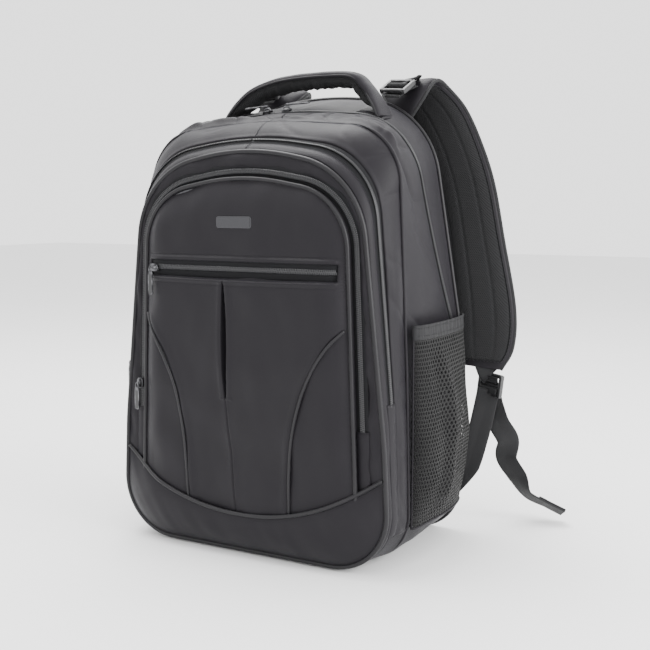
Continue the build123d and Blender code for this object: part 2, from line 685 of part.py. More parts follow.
def all_nodes():
    """Every piece by name."""
    nodes = {
        "base_panel": base_panel(),
        "back_gusset": back_gusset(),
        "main_lip": main_lip(),
        "main_zipper": main_zipper(),
        "middle_gusset": middle_gusset(),
        "middle_lip": middle_lip(),
        "middle_zipper": middle_zipper(),
        "divider_wall": divider_wall(),
        "back_panel": back_panel(),
        "frame_sheet": frame_sheet(),
        "back_pads": back_pads(),
        "front_border": front_border(),
        "organiser_wall": organiser_wall(),
        "organiser_zipper": organiser_zipper(),
        "organiser_gusset": organiser_gusset(),
        "pen_pocket": pen_pocket(),
        "front_panel": front_panel(),
        "bottom_band": bottom_band(),
        "band_piping": band_piping(),
        "outer_piping": outer_piping(),
        "flap_panel": flap_panel(),
        "flap_crown": flap_crown(),
        "pocket_panel": pocket_panel(),
        "pocket_zipper": pocket_zipper(),
        "flap_piping": flap_piping(),
        "badge": badge(),
        "zipper_covers": zipper_covers(),
        "laptop_sleeve": laptop_sleeve(),
        "sleeve_strap": sleeve_strap(),
        "middle_slider": middle_slider(),
        "middle_pull": middle_pull(),
        "organiser_slider": organiser_slider(),
        "organiser_pull": organiser_pull(),
        "pocket_slider": pocket_slider(),
        "pocket_pull": pocket_pull(),
        "grab_handle": grab_handle(),
        "handle_patches": handle_patches(),
    }
    for index, (name, side) in enumerate(SIDES.items()):
        nodes["side_panel_" + name] = side_panel(side)
        nodes["main_slider_" + name] = main_slider(index)
        nodes["main_pull_" + name] = main_pull(index)
        nodes["shoulder_strap_" + name] = strap(side)
        nodes["lower_buckle_" + name] = lower_buckle(side)
        nodes["lower_webbing_" + name] = lower_webbing(side)
        nodes["lifter_buckle_" + name] = lifter_buckle(side)
        nodes["lifter_webbing_" + name] = lifter_webbing(side)
        nodes["anchor_tab_" + name] = anchor_tab(side)
        nodes["mesh_pocket_" + name] = mesh_pocket(side)
        nodes["pocket_hem_" + name] = pocket_hem(side)
    return nodes


os.makedirs("parts", exist_ok=True)
for node, shape in all_nodes().items():
    export_step(shape, os.path.join("parts", node + ".step"))
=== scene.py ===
import bpy
import functools
import math
import numpy as np
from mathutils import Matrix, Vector, noise


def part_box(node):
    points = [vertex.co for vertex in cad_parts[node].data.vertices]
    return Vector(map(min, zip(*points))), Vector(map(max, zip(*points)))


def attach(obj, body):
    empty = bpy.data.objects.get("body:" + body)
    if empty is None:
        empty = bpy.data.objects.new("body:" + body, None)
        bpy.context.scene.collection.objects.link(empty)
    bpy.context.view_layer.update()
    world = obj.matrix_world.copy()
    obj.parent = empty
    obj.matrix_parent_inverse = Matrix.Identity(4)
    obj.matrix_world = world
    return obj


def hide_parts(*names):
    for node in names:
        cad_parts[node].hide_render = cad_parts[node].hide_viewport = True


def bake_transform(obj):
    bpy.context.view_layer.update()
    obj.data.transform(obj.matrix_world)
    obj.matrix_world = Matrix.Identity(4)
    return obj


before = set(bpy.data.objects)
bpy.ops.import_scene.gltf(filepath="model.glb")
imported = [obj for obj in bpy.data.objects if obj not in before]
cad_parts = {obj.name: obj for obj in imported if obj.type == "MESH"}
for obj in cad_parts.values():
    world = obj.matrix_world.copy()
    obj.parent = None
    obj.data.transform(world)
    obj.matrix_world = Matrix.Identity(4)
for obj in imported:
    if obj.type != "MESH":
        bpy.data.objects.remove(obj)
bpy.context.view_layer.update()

# Shapes are worked out in millimetres, in the frame of the CAD model: X to the right, Y from
# front to back, Z up. add_mesh() turns them into metres.
MM = 0.001


def low(node, axis):
    """Lowest coordinate of a CAD node along an axis, in millimetres."""
    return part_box(node)[0][axis] / MM


def high(node, axis):
    """Highest coordinate of a CAD node along an axis, in millimetres."""
    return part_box(node)[1][axis] / MM


def middle(node):
    """Centre of a CAD node, in millimetres."""
    lowest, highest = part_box(node)
    return np.array((lowest + highest) / 2) / MM


def node_box(node):
    """Lowest and highest corner of a CAD node, in millimetres."""
    return [np.array(corner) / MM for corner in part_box(node)]


# ---- depths and heights that the CAD model gives ----
Y_POCKET = low("pocket_panel", 1)
Y_CROWN = low("flap_crown", 1)
Y_BAND = low("bottom_band", 1)
Y_BORDER = low("front_border", 1)
Y_PIPING = middle("outer_piping")[1]
Y_MIDDLE_ZIP = middle("middle_slider")[1]
Y_SEAM = low("side_panel_right", 1)
Y_BACK = low("back_panel", 1)
Y_BACK_FACE = high("back_panel", 1)
Y_PAD = high("back_pads", 1)
BASE_TOP_Z = high("base_panel", 2)
FLAP_HINGE_Z = low("flap_panel", 2) - 1
POCKET_ZIP_Z = middle("pocket_zipper")[2]
POCKET_ZIP_HALF = high("pocket_zipper", 0)
POCKET_BOTTOM_Z = low("mesh_pocket_right", 2)
POCKET_HEM_Z = low("pocket_hem_right", 2)
POCKET_TOP_Z = high("pocket_hem_right", 2)
POCKET_FRONT_Y = low("mesh_pocket_right", 1)
POCKET_BACK_Y = high("mesh_pocket_right", 1)
POCKET_X = low("mesh_pocket_right", 0)

# ---- outline of the body at its front, at its seam and at its back ----
# half width and height of the base, waist and shoulder corners, height of the apex,
# then the radii of the base, waist, shoulder and crown
FRONT_OUTLINE = (163, 3, 157, 140, 131, 402, 427, 60, 400, 85, 300)
SEAM_OUTLINE = (163, 0, 158, 200, 148, 440, 452, 55, 400, 60, 550)
BACK_OUTLINE = (163, 0, 163, 220, 122, 472, 486, 50, 400, 98, 370)
Y_FRONT = -78.0          # depth of the front outline

# inner arch: half width and height of the foot and shoulder corners, height of the apex
ARCH = (129, 44, 116, 372, 393)
ARCH_RADII = (12, 62, 260)

# main zipper: its plane passes through the crown and leans back as it goes down
ZIP_CROWN = (14.0, 462.0)
ZIP_END = (80.0, 236.0)
ZIP_HALF = 5.0
MIDDLE_ZIP_END_Z = 170.0

# the parts of the two crowns that fold open: where the fabric starts and stops bending
MAIN_LIP_BEND = (112.0, 84.0)
MIDDLE_LIP_BEND = (96.0, 70.0)

FABRIC = 1.4             # thickness of the sewn fabric
OUTLINE_POINTS = 400     # points on each half outline
SKIN_DEPTHS = np.arange(-112.0, 124.0, 4.0)     # depths at which the body's outline is worked out


# ---------------------------------------------------------------- lines

def distances(line):
    """Distance of each point of a line from the line's start, measured along it."""
    steps = np.linalg.norm(np.diff(np.asarray(line, float), axis=0), axis=1)
    return np.concatenate([[0], np.cumsum(steps)])


def read_off(at, places, values):
    """Rows of values, read off at places between the places of the rows."""
    return np.stack([np.interp(at, places, values[:, k]) for k in range(values.shape[1])], axis=1)


def resample(line, count):
    """A line again, with evenly spaced points."""
    line = np.asarray(line, float)
    along = distances(line)
    return read_off(np.linspace(0, along[-1], count), along, line)


def spaced(line, step):
    """A line again, with points about a step apart."""
    return resample(line, max(3, int(round(distances(line)[-1] / step)) + 1))


def closed_line(line, count):
    """A closed line again, with evenly spaced points. Its start is not repeated at its end."""
    return resample(np.vstack([line, line[:1]]), count)[:-1]


def smooth_line(points, count):
    """Catmull-Rom curve through points, evenly spaced."""
    points = np.asarray(points, float)
    padded = np.vstack([2 * points[0] - points[1], points, 2 * points[-1] - points[-2]])
    t = np.linspace(0, 1, 24, endpoint=False)[:, None]
    spans = []
    for a, b, c, d in zip(padded, padded[1:], padded[2:], padded[3:]):
        spans.append(0.5 * (2 * b + (c - a) * t + (2 * a - 5 * b + 4 * c - d) * t ** 2
                            + (3 * b - a - 3 * c + d) * t ** 3))
    spans.append(points[-1:])
    return resample(np.vstack(spans), count)


def fillet(a, b, c, radius, steps=20):
    """Points of the arc that rounds the corner b between a and c."""
    a, b, c = (np.array(p, float) for p in (a, b, c))
    u = (a - b) / np.linalg.norm(a - b)
    v = (c - b) / np.linalg.norm(c - b)
    half = 0.5 * math.acos(float(u @ v))
    centre = b + (u + v) / np.linalg.norm(u + v) * radius / math.sin(half)
    start = b + u * radius / math.tan(half) - centre
    end = b + v * radius / math.tan(half) - centre
    first = math.atan2(start[1], start[0])
    turn = (math.atan2(end[1], end[0]) - first + math.pi) % (2 * math.pi) - math.pi
    angles = first + turn * np.linspace(0, 1, steps + 1)
    return centre + radius * np.stack([np.cos(angles), np.sin(angles)], axis=1)


def shifted(line, distance):
    """A half outline moved outwards, its two ends kept on the middle plane."""
    along = np.gradient(line, axis=0)
    normal = np.stack([along[:, 1], -along[:, 0]], axis=1)
    normal /= np.linalg.norm(normal, axis=1)[:, None]
    moved = line + normal * distance
    moved[[0, -1], 0] = 0
    return moved


@functools.lru_cache(maxsize=None)
def half_outline(y, grow=0.0):
    """Right half of the body's outline at a depth, from the middle of the base to the crown."""
    if y <= Y_SEAM:
        first, second, share = FRONT_OUTLINE, SEAM_OUTLINE, (y - Y_FRONT) / (Y_SEAM - Y_FRONT)
    else:
        first, second, share = SEAM_OUTLINE, BACK_OUTLINE, (y - Y_SEAM) / (Y_BACK - Y_SEAM)
    size = [a + (b - a) * share for a, b in zip(first, second)]
    base, waist, shoulder, apex = size[0:2], size[2:4], size[4:6], (0, size[6])
    crown = fillet(shoulder, apex, (-size[4], size[5]), size[10])
    parts = [
        [(0, base[1])],
        fillet((-size[0], base[1]), base, waist, size[7]),
        fillet(base, waist, shoulder, size[8]),
        fillet(waist, shoulder, apex, size[9]),
        crown[:len(crown) // 2 + 1],
    ]
    return shifted(resample(np.vstack(parts), OUTLINE_POINTS), grow)


@functools.lru_cache(maxsize=None)
def half_arch(grow=0.0):
    """Right half of the inner arch, from the middle of its foot to its crown."""
    foot, shoulder, apex = ARCH[0:2], ARCH[2:4], (0, ARCH[4])
    crown = fillet(shoulder, apex, (-ARCH[2], ARCH[3]), ARCH_RADII[2])
    parts = [
        [(0, foot[1])],
        fillet((-ARCH[0], foot[1]), foot, shoulder, ARCH_RADII[0]),
        fillet(foot, shoulder, apex, ARCH_RADII[1]),
        crown[:len(crown) // 2 + 1],
    ]
    return shifted(resample(np.vstack(parts), OUTLINE_POINTS), grow)


def at_height(z):
    """Key: the place on a half outline at a height."""
    return lambda line: np.interp(z, np.maximum.accumulate(line[:, 1]), np.arange(len(line)))


def at_crown(x):
    """Key: the place on the crown of a half outline at a distance from the middle plane."""
    def place(line):
        half = len(line) // 2
        return np.interp(x, line[:half:-1, 0], np.arange(len(line) - 1, half, -1))
    return place


def at_foot(line):
    """Key: the middle of the base, where every half outline starts."""
    return 0


def crown_end(line):
    """Key: the middle of the crown."""
    return len(line) - 1


def between(line, lower, upper, count):
    """Points of a half outline between two keys."""
    at = np.linspace(lower(line), upper(line), count * 4)
    return resample(read_off(at, np.arange(len(line)), line), count)


def skin(ys, lower, upper, grow=0.0):
    """Points on the right half of the body. ys holds a depth for each row and column."""
    ys = np.asarray(ys, float)
    table = np.stack([between(half_outline(y, grow), lower, upper, ys.shape[1])
                      for y in SKIN_DEPTHS])
    points = np.empty(ys.shape + (3,))
    points[..., 1] = ys
    for column in range(ys.shape[1]):
        for axis, k in ((0, 0), (2, 1)):
            points[:, column, axis] = np.interp(ys[:, column], SKIN_DEPTHS, table[:, column, k])
    return points


ZIP_ROUNDS = 8           # the zipper's depth sets its height, and its height sets its depth


def zip_depth(z):
    """Depth of the main zipper at a height."""
    slope = (ZIP_END[0] - ZIP_CROWN[0]) / (ZIP_CROWN[1] - ZIP_END[1])
    return ZIP_CROWN[0] + (ZIP_CROWN[1] - z) * slope


def zip_row(lower, upper, count, shift, grow=0.0):
    """Depths of a line beside the main zipper, column by column, no further than the back."""
    ys = np.full((1, count), ZIP_CROWN[0])
    for _ in range(ZIP_ROUNDS):
        ys = np.minimum(zip_depth(skin(ys, lower, upper, grow)[..., 2]) + shift, Y_BACK - 1.0)
    return ys[0]


def rows_between(first, last, count):
    """Depths for a grid, from a first row to a last row."""
    share = np.linspace(0, 1, count)[:, None]
    return np.asarray(first) * (1 - share) + np.asarray(last) * share


def both_sides(points):
    """A right-hand grid or line that ends at the crown, carried on over the left side."""
    left = points[..., ::-1, :] * np.array((-1, 1, 1))
    return np.concatenate([points, left[..., 1:, :]], axis=-2)


# ---------------------------------------------------------------- surfaces

def unit(vectors):
    """Vectors scaled to length one."""
    length = np.linalg.norm(vectors, axis=-1, keepdims=True)
    return vectors / np.maximum(length, 1e-9)


def grid_normals(points):
    """Unit normals of a grid of points."""
    return unit(np.cross(np.gradient(points, axis=0), np.gradient(points, axis=1)))


def raised(points, height):
    """A grid pushed out along its normals."""
    return points + grid_normals(points) * np.asarray(height)[..., None]


def noise_at(points, size, seed=0.0):
    """Smooth noise from -1 to 1 at points, with bumps of a size."""
    flat = points.reshape(-1, 3) / size + seed
    values = [noise.noise(Vector(p)) for p in flat]
    return np.array(values).reshape(points.shape[:-1]) * 1.6


def smoothstep(x, low_edge, high_edge):
    """0 below the low edge, 1 above the high edge, and smooth between them."""
    t = np.clip((x - low_edge) / (high_edge - low_edge), 0, 1)
    return t * t * (3 - 2 * t)


def edge_share(shape, columns=True):
    """1 in the middle of a grid, falling to 0 at its end rows, and at its end columns if asked."""
    share = np.ones(shape)
    v = np.linspace(0, 1, shape[0])[:, None]
    u = np.linspace(0, 1, shape[1])[None, :]
    edges = [v, 1 - v]
    if columns:
        edges += [u * 3, (1 - u) * 3]
    for t in edges:
        share = share * (1 - (1 - np.clip(t * 2, 0, 1)) ** 2)
    return share


def grid_distance(points):
    """Distances along the rows and the columns of a grid, for its fabric's weave."""
    across = np.linalg.norm(np.diff(points, axis=1), axis=2)
    up = np.linalg.norm(np.diff(points, axis=0), axis=2)
    u = np.concatenate([np.zeros((points.shape[0], 1)), np.cumsum(across, axis=1)], axis=1)
    v = np.concatenate([np.zeros((1, points.shape[1])), np.cumsum(up, axis=0)], axis=0)
    return np.stack([u, v], axis=-1)


def grid_faces(rows, columns, wrap_rows=False, wrap_columns=False, flip=False):
    """Quads of a grid of points."""
    index = np.arange(rows * columns).reshape(rows, columns)
    if wrap_rows:
        index = np.vstack([index, index[:1]])
    if wrap_columns:
        index = np.hstack([index, index[:, :1]])
    quads = np.stack([index[:-1, :-1], index[:-1, 1:], index[1:, 1:], index[1:, :-1]], axis=-1)
    quads = quads.reshape(-1, 4)
    return quads if flip else quads[:, ::-1]


def add_mesh(name, points, faces, material, uv=None, smooth=True):
    """Adds a mesh from points in millimetres. uv holds a place in the weave for each point."""
    mesh = bpy.data.meshes.new(name)
    points = np.asarray(points, float).reshape(-1, 3)
    mesh.from_pydata((points * MM).tolist(), [], [list(map(int, face)) for face in faces])
    mesh.materials.append(material)
    if uv is not None:
        corner = np.empty(len(mesh.loops), np.int32)
        mesh.loops.foreach_get("vertex_index", corner)
        layer = mesh.uv_layers.new(name="weave")
        layer.data.foreach_set("uv", (np.asarray(uv).reshape(-1, 2)[corner] / 10).ravel())
    if smooth:
        mesh.polygons.foreach_set("use_smooth", np.ones(len(mesh.polygons), bool))
    mesh.validate()
    mesh.update()
    piece = bpy.data.objects.new(name, mesh)
    bpy.context.scene.collection.objects.link(piece)
    return piece


def solidify(piece, thickness, offset=-1.0):
    """Gives a sheet its thickness, in millimetres."""
    modifier = piece.modifiers.new("thickness", "SOLIDIFY")
    modifier.thickness = thickness * MM
    modifier.offset = offset
    return piece


def bevel(piece, width):
    """Rounds the sharp edges of a hard piece."""
    modifier = piece.modifiers.new("bevel", "BEVEL")
    modifier.width = width * MM
    modifier.segments = 2
    modifier.limit_method = "ANGLE"
    modifier.angle_limit = math.radians(35)
    return piece


def add_sheet(name, points, material, side=1, thickness=FABRIC):
    """Adds a sheet of fabric from a grid of points, mirrored for the left side."""
    placed = points * np.array((side, 1, 1))
    faces = grid_faces(points.shape[0], points.shape[1], flip=side < 0)
    piece = add_mesh(name, placed, faces, material, grid_distance(points))
    return solidify(piece, thickness)


def path_frames(path, hint=(0, 0, 1), closed=False):
    """Two unit vectors across a path for each of its points, carried along without twisting."""
    if closed:
        along = unit(np.roll(path, -1, axis=0) - np.roll(path, 1, axis=0))
    else:
        along = unit(np.gradient(path, axis=0))
    side = np.cross(along[0], np.array(hint, float))
    if np.linalg.norm(side) < 1e-3:
        side = np.cross(along[0], np.array((0.0, 1.0, 0.1)))
    sides = [side / np.linalg.norm(side)]
    for direction in along[1:]:
        side = sides[-1] - direction * (sides[-1] @ direction)
        sides.append(side / np.linalg.norm(side))
    sides = np.array(sides)
    return sides, np.cross(along, sides)


def add_tube(name, path, radius, material, closed=False, sides=10, flat=1.0, hint=(0, 0, 1)):
    """Adds a tube along a path. radius is a number, or one for each point."""
    path = np.asarray(path, float)
    first, second = path_frames(path, hint, closed)
    angles = np.linspace(0, 2 * math.pi, sides, endpoint=False)
    radius = np.broadcast_to(np.asarray(radius, float), (len(path),))
    ring = np.cos(angles)[None, :, None] * first[:, None]
    ring = ring + flat * np.sin(angles)[None, :, None] * second[:, None]
    points = path[:, None] + ring * radius[:, None, None]
    faces = grid_faces(len(path), sides, wrap_rows=closed, wrap_columns=True).tolist()
    if not closed:
        faces.append(list(range(sides)))
        faces.append(list(range(len(path) * sides - 1, (len(path) - 1) * sides - 1, -1)))
    girth = np.linspace(0, 2 * math.pi * float(radius.mean()), sides)
    uv = np.stack(np.broadcast_arrays(girth[None, :], distances(path)[:, None]), axis=-1)
    return add_mesh(name, points, faces, material, uv)


def band_section(width, thick):
    """Closed section of a flat band with round edges, as places across and through it."""
    half, round_half = width / 2, thick / 2
    count = 9
    flat = np.linspace(-(half - round_half), half - round_half, count)
    turn = np.linspace(-math.pi / 2, math.pi / 2, 5)[1:-1]
    right = np.stack([half - round_half + round_half * np.cos(turn), round_half * np.sin(turn)], axis=1)
    lower = np.stack([flat, np.full(count, -round_half)], axis=1)
    return np.vstack([lower, right, -lower, -right])


def add_band(name, path, across, widths, thick, material):
    """Adds a flat band, such as webbing, along a path."""
    path = np.asarray(path, float)
    along = unit(np.gradient(path, axis=0))
    across = np.asarray(across, float)
    across = unit(across - along * (across * along).sum(1, keepdims=True))
    through = np.cross(along, across)
    widths = np.broadcast_to(np.asarray(widths, float), (len(path),))
    rings, places = [], []
    length = distances(path)
    for index, centre in enumerate(path):
        section = band_section(widths[index], thick)
        rings.append(centre + section[:, :1] * across[index] + section[:, 1:] * through[index])
        places.append(np.stack([section[:, 0], np.full(len(section), length[index])], axis=1))
    count = len(rings[0])
    faces = grid_faces(len(rings), count, wrap_columns=True, flip=True).tolist()
    faces.append(list(range(count - 1, -1, -1)))
    faces.append(list(range((len(rings) - 1) * count, len(rings) * count)))
    return add_mesh(name, np.array(rings), faces, material, np.array(places))


# ---------------------------------------------------------------- materials

def new_material(name, colour, roughness, metallic=0.0, sheen=0.0, specular=0.5):
    """A material with its plain values set on the shader. Returns it and its shader."""
    material = bpy.data.materials.new(name)
    material.use_nodes = True
    shader = material.node_tree.nodes["Principled BSDF"]
    shader.inputs["Base Color"].default_value = (*colour, 1)
    shader.inputs["Roughness"].default_value = roughness
    shader.inputs["Metallic"].default_value = metallic
    shader.inputs["Sheen Weight"].default_value = sheen
    shader.inputs["Sheen Roughness"].default_value = 0.45
    shader.inputs["Specular IOR Level"].default_value = specular
    return material, shader


def link(material, source, target):
    """Links two sockets."""
    material.node_tree.links.new(source, target)


def math_node(material, operation, first, second=None):
    """A math node on sockets or numbers. Returns its output."""
    node = material.node_tree.nodes.new("ShaderNodeMath")
    node.operation = operation
    for socket, value in zip(node.inputs, (first, second)):
        if value is None:
            continue
        if isinstance(value, (int, float)):
            socket.default_value = value
        else:
            link(material, value, socket)
    return node.outputs[0]


def weave_place(material):
    """The place in the weave, in centimetres along and across the cloth."""
    node = material.node_tree.nodes.new("ShaderNodeUVMap")
    node.uv_map = "weave"
    split = material.node_tree.nodes.new("ShaderNodeSeparateXYZ")
    link(material, node.outputs[0], split.inputs[0])
    return split.outputs[0], split.outputs[1]


def noise_node(material, scale, detail=3.0):
    """Noise over the object's own space. Scale is in bumps per metre."""
    place = material.node_tree.nodes.new("ShaderNodeTexCoord")
    node = material.node_tree.nodes.new("ShaderNodeTexNoise")
    node.inputs["Scale"].default_value = scale
    node.inputs["Detail"].default_value = detail
    node.inputs["Roughness"].default_value = 0.55
    link(material, place.outputs["Object"], node.inputs["Vector"])
    return node.outputs["Fac"]


def ramp(material, value, low_value, high_value, low_edge=0.0, high_edge=1.0):
    """A socket mapped from one range to another."""
    node = material.node_tree.nodes.new("ShaderNodeMapRange")
    node.inputs["From Min"].default_value = low_edge
    node.inputs["From Max"].default_value = high_edge
    node.inputs["To Min"].default_value = low_value
    node.inputs["To Max"].default_value = high_value
    link(material, value, node.inputs["Value"])
    return node.outputs[0]


def tinted(material, shader, value, first, second):
    """Colours a shader between two colours by a value."""
    node = material.node_tree.nodes.new("ShaderNodeMix")
    node.data_type = "RGBA"
    node.inputs["A"].default_value = (*first, 1)
    node.inputs["B"].default_value = (*second, 1)
    link(material, value, node.inputs["Factor"])
    link(material, node.outputs["Result"], shader.inputs["Base Color"])


def bumped(material, shader, height, distance):
    """Gives a shader a bump from a height socket. Distance is in millimetres."""
    node = material.node_tree.nodes.new("ShaderNodeBump")
    node.inputs["Strength"].default_value = 1.0
    node.inputs["Distance"].default_value = distance * MM
    link(material, height, node.inputs["Height"])
    link(material, node.outputs[0], shader.inputs["Normal"])


def threads(material, per_cm, axis_value):
    """Rounded threads across one direction of the weave."""
    wave = math_node(material, "SINE", math_node(material, "MULTIPLY", axis_value, 2 * math.pi * per_cm))
    return ramp(material, wave, 0.0, 1.0, -1.0, 1.0)


def woven(material, per_cm):
    """Height of a plain weave: warp and weft threads that take turns on top."""
    u, v = weave_place(material)
    warp = threads(material, per_cm, u)
    weft = threads(material, per_cm, v)
    waves = [math_node(material, "SINE", math_node(material, "MULTIPLY", place, math.pi * per_cm))
             for place in (u, v)]
    turns = math_node(material, "MULTIPLY", *waves)
    over = ramp(material, turns, 0.0, 1.0, -0.3, 0.3)
    first = math_node(material, "MULTIPLY", warp, over)
    second = math_node(material, "MULTIPLY", weft, math_node(material, "SUBTRACT", 1.0, over))
    return math_node(material, "ADD", first, second)


def body_fabric_material():
    """Charcoal polyester with a satin finish."""
    material, shader = new_material("body_fabric", (0.007, 0.007, 0.008), 0.50, sheen=0.03, specular=0.13)
    shader.inputs["Sheen Tint"].default_value = (0.75, 0.76, 0.82, 1)
    broad = noise_node(material, 9.0, 4.0)
    fine = noise_node(material, 900.0, 2.0)
    tinted(material, shader, broad, (0.008, 0.007, 0.009), (0.011, 0.010, 0.012))
    link(material, ramp(material, broad, 0.40, 0.54, 0.25, 0.75), shader.inputs["Roughness"])
    weave = math_node(material, "ADD", math_node(material, "MULTIPLY", woven(material, 22), 0.7), fine)
    bumped(material, shader, weave, 0.035)
    return material


def lining_material():
    """Thin grey lining with a visible rib."""
    material, shader = new_material("lining", (0.165, 0.165, 0.180), 0.62, sheen=0.15, specular=0.08)
    u, v = weave_place(material)
    grid = math_node(material, "MAXIMUM", threads(material, 2.5, u), threads(material, 2.5, v))
    ribs = ramp(material, grid, 0.0, 1.0, 0.9, 1.0)
    tinted(material, shader, ribs, (0.064, 0.064, 0.069), (0.090, 0.090, 0.098))
    bumped(material, shader, math_node(material, "ADD", ribs, woven(material, 16)), 0.05)
    return material


def air_mesh_material():
    """Black spacer mesh: small round holes in a knitted face, the holes painted near black as painted
    shade inside them.
    """
    material, shader = new_material("air_mesh", (0.008, 0.008, 0.009), 0.85, sheen=0.03, specular=0.23)
    u, v = weave_place(material)
    per_cm = 4.5
    row = math_node(material, "MULTIPLY", v, per_cm * 1.15)
    shift = math_node(material, "MULTIPLY", math_node(material, "MODULO", math_node(
        material, "FLOOR", row), 2.0), 0.5)
    column = math_node(material, "ADD", math_node(material, "MULTIPLY", u, per_cm), shift)
    hole = []
    for value in (column, row):
        part = math_node(material, "SUBTRACT", math_node(material, "FRACT", value), 0.5)
        hole.append(math_node(material, "MULTIPLY", part, part))
    distance = math_node(material, "SQRT", math_node(material, "ADD", hole[0], hole[1]))
    knit = ramp(material, distance, 0.0, 1.0, 0.20, 0.36)
    # the holes are painted near black, darker than the black knit: painted shade inside the holes
    tinted(material, shader, knit, (0.001, 0.001, 0.001), (0.014, 0.014, 0.015))
    bumped(material, shader, knit, 0.5)
    return material


def net_material():
    """Black knitted net."""
    material, shader = new_material("pocket_mesh", (0.003, 0.003, 0.003), 0.7, sheen=0.03, specular=0.23)
    fine = noise_node(material, 2500.0, 2.0)
    tinted(material, shader, fine, (0.002, 0.002, 0.002), (0.005, 0.005, 0.005))
    bumped(material, shader, fine, 0.12)
    return material


def elastic_material():
    """Ribbed elastic band."""
    material, shader = new_material("elastic", (0.007, 0.007, 0.007), 0.65, sheen=0.03, specular=0.23)
    u, v = weave_place(material)
    ribs = math_node(material, "ADD", threads(material, 8, v), math_node(
        material, "MULTIPLY", threads(material, 14, u), 0.5))
    tinted(material, shader, ramp(material, ribs, 0, 1, 0, 1.5),
           (0.004, 0.004, 0.005), (0.009, 0.009, 0.010))
    bumped(material, shader, ribs, 0.14)
    return material


def piping_material():
    """Smooth fabric drawn over a cord."""
    material, shader = new_material("piping", (0.009, 0.009, 0.010), 0.42, sheen=0.03, specular=0.23)
    fine = noise_node(material, 700.0, 2.0)
    broad = noise_node(material, 30.0, 2.0)
    tinted(material, shader, broad, (0.007, 0.007, 0.008), (0.012, 0.011, 0.013))
    bumped(material, shader, fine, 0.05)
    return material


def tape_material():
    """Zipper tape, woven in fine ribs."""
    material, shader = new_material("zipper_tape", (0.006, 0.006, 0.006), 0.7, sheen=0.03, specular=0.14)
    u, v = weave_place(material)
    ribs = math_node(material, "ADD", threads(material, 9, u), threads(material, 14, v))
    tinted(material, shader, ramp(material, ribs, 0, 1, 0, 2),
           (0.003, 0.003, 0.004), (0.008, 0.008, 0.009))
    bumped(material, shader, ribs, 0.08)
    return material


def coil_material():
    """Nylon zipper coil."""
    material, shader = new_material("zipper_coil", (0.026, 0.026, 0.028), 0.40, specular=0.43)
    fine = noise_node(material, 1200.0, 2.0)
    link(material, ramp(material, fine, 0.30, 0.45), shader.inputs["Roughness"])
    bumped(material, shader, fine, 0.02)
    return material


def metal_material():
    """Dark gun metal of the sliders and pulls, worn a little brighter in places."""
    material, shader = new_material("slider_metal", (0.104, 0.104, 0.110), 0.32, metallic=1.0)
    wear = noise_node(material, 160.0, 4.0)
    tinted(material, shader, ramp(material, wear, 0, 1, 0.35, 0.75),
           (0.029, 0.029, 0.031), (0.209, 0.209, 0.219))
    link(material, ramp(material, wear, 0.24, 0.42), shader.inputs["Roughness"])
    bumped(material, shader, noise_node(material, 1500.0, 2.0), 0.02)
    return material


def webbing_material():
    """Black webbing with a herringbone rib."""
    material, shader = new_material("webbing", (0.010, 0.010, 0.010), 0.62, sheen=0.03, specular=0.23)
    u, v = weave_place(material)
    slant = math_node(material, "ADD", math_node(material, "ABSOLUTE", u), v)
    ribs = math_node(material, "ADD", threads(material, 7, slant), math_node(
        material, "MULTIPLY", threads(material, 10, u), 0.6))
    tinted(material, shader, ramp(material, ribs, 0, 1, 0, 1.6),
           (0.005, 0.005, 0.006), (0.017, 0.017, 0.018))
    bumped(material, shader, ribs, 0.2)
    return material


def plastic_material():
    """Moulded black plastic of the buckles."""
    material, shader = new_material("buckle_plastic", (0.021, 0.021, 0.022), 0.34, specular=0.50)
    grain = noise_node(material, 1800.0, 2.0)
    link(material, ramp(material, grain, 0.28, 0.42), shader.inputs["Roughness"])
    tinted(material, shader, noise_node(material, 60.0, 2.0),
           (0.015, 0.015, 0.016), (0.025, 0.025, 0.026))
    bumped(material, shader, grain, 0.03)
    return material


def badge_material():
    """Dark polished badge."""
    material, shader = new_material("badge", (0.052, 0.052, 0.056), 0.24, metallic=0.85)
    brushed = noise_node(material, 400.0, 2.0)
    link(material, ramp(material, brushed, 0.16, 0.30), shader.inputs["Roughness"])
    bumped(material, shader, brushed, 0.01)
    return material


def stiffener_material():
    """Grey moulded sheet with a fine grain."""
    material, shader = new_material("stiffener", (0.150, 0.150, 0.165), 0.55)
    grain = noise_node(material, 500.0, 3.0)
    tinted(material, shader, grain, (0.060, 0.060, 0.068), (0.090, 0.090, 0.098))
    bumped(material, shader, grain, 0.1)
    return material


def floor_material():
    """Plain pale floor."""
    material, shader = new_material("floor", (0.82, 0.82, 0.82), 0.9, specular=0.1)
    tinted(material, shader, noise_node(material, 3.0, 2.0), (0.81, 0.81, 0.81), (0.83, 0.83, 0.83))
    return material


BODY = body_fabric_material()
LINING = lining_material()
AIR_MESH = air_mesh_material()
NET = net_material()
ELASTIC = elastic_material()
PIPING = piping_material()
TAPE = tape_material()
COIL = coil_material()
METAL = metal_material()
WEBBING = webbing_material()
PLASTIC = plastic_material()
BADGE = badge_material()
STIFFENER = stiffener_material()
SIDES = {"left": -1, "right": 1}


def labelled(piece, nodes):
    """Lets a piece stand for CAD nodes, which it hides."""
    if nodes:
        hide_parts(*nodes)
    return piece


def once(side, *nodes):
    """CAD nodes that a left and a right piece stand for together. The right piece names them."""
    return nodes if side > 0 else ()


def keep(piece, body, *nodes):
    """Lets a finished piece ride on a body and stand for CAD nodes."""
    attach(piece, body)
    return labelled(piece, nodes)


def keep_bent(piece, first, second, start, end, *nodes):
    """Bakes a finished piece's place into its mesh and lets it stand for CAD nodes. The two bodies, the
    start and the end are not used.
    """
    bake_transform(piece)
    return labelled(piece, nodes)


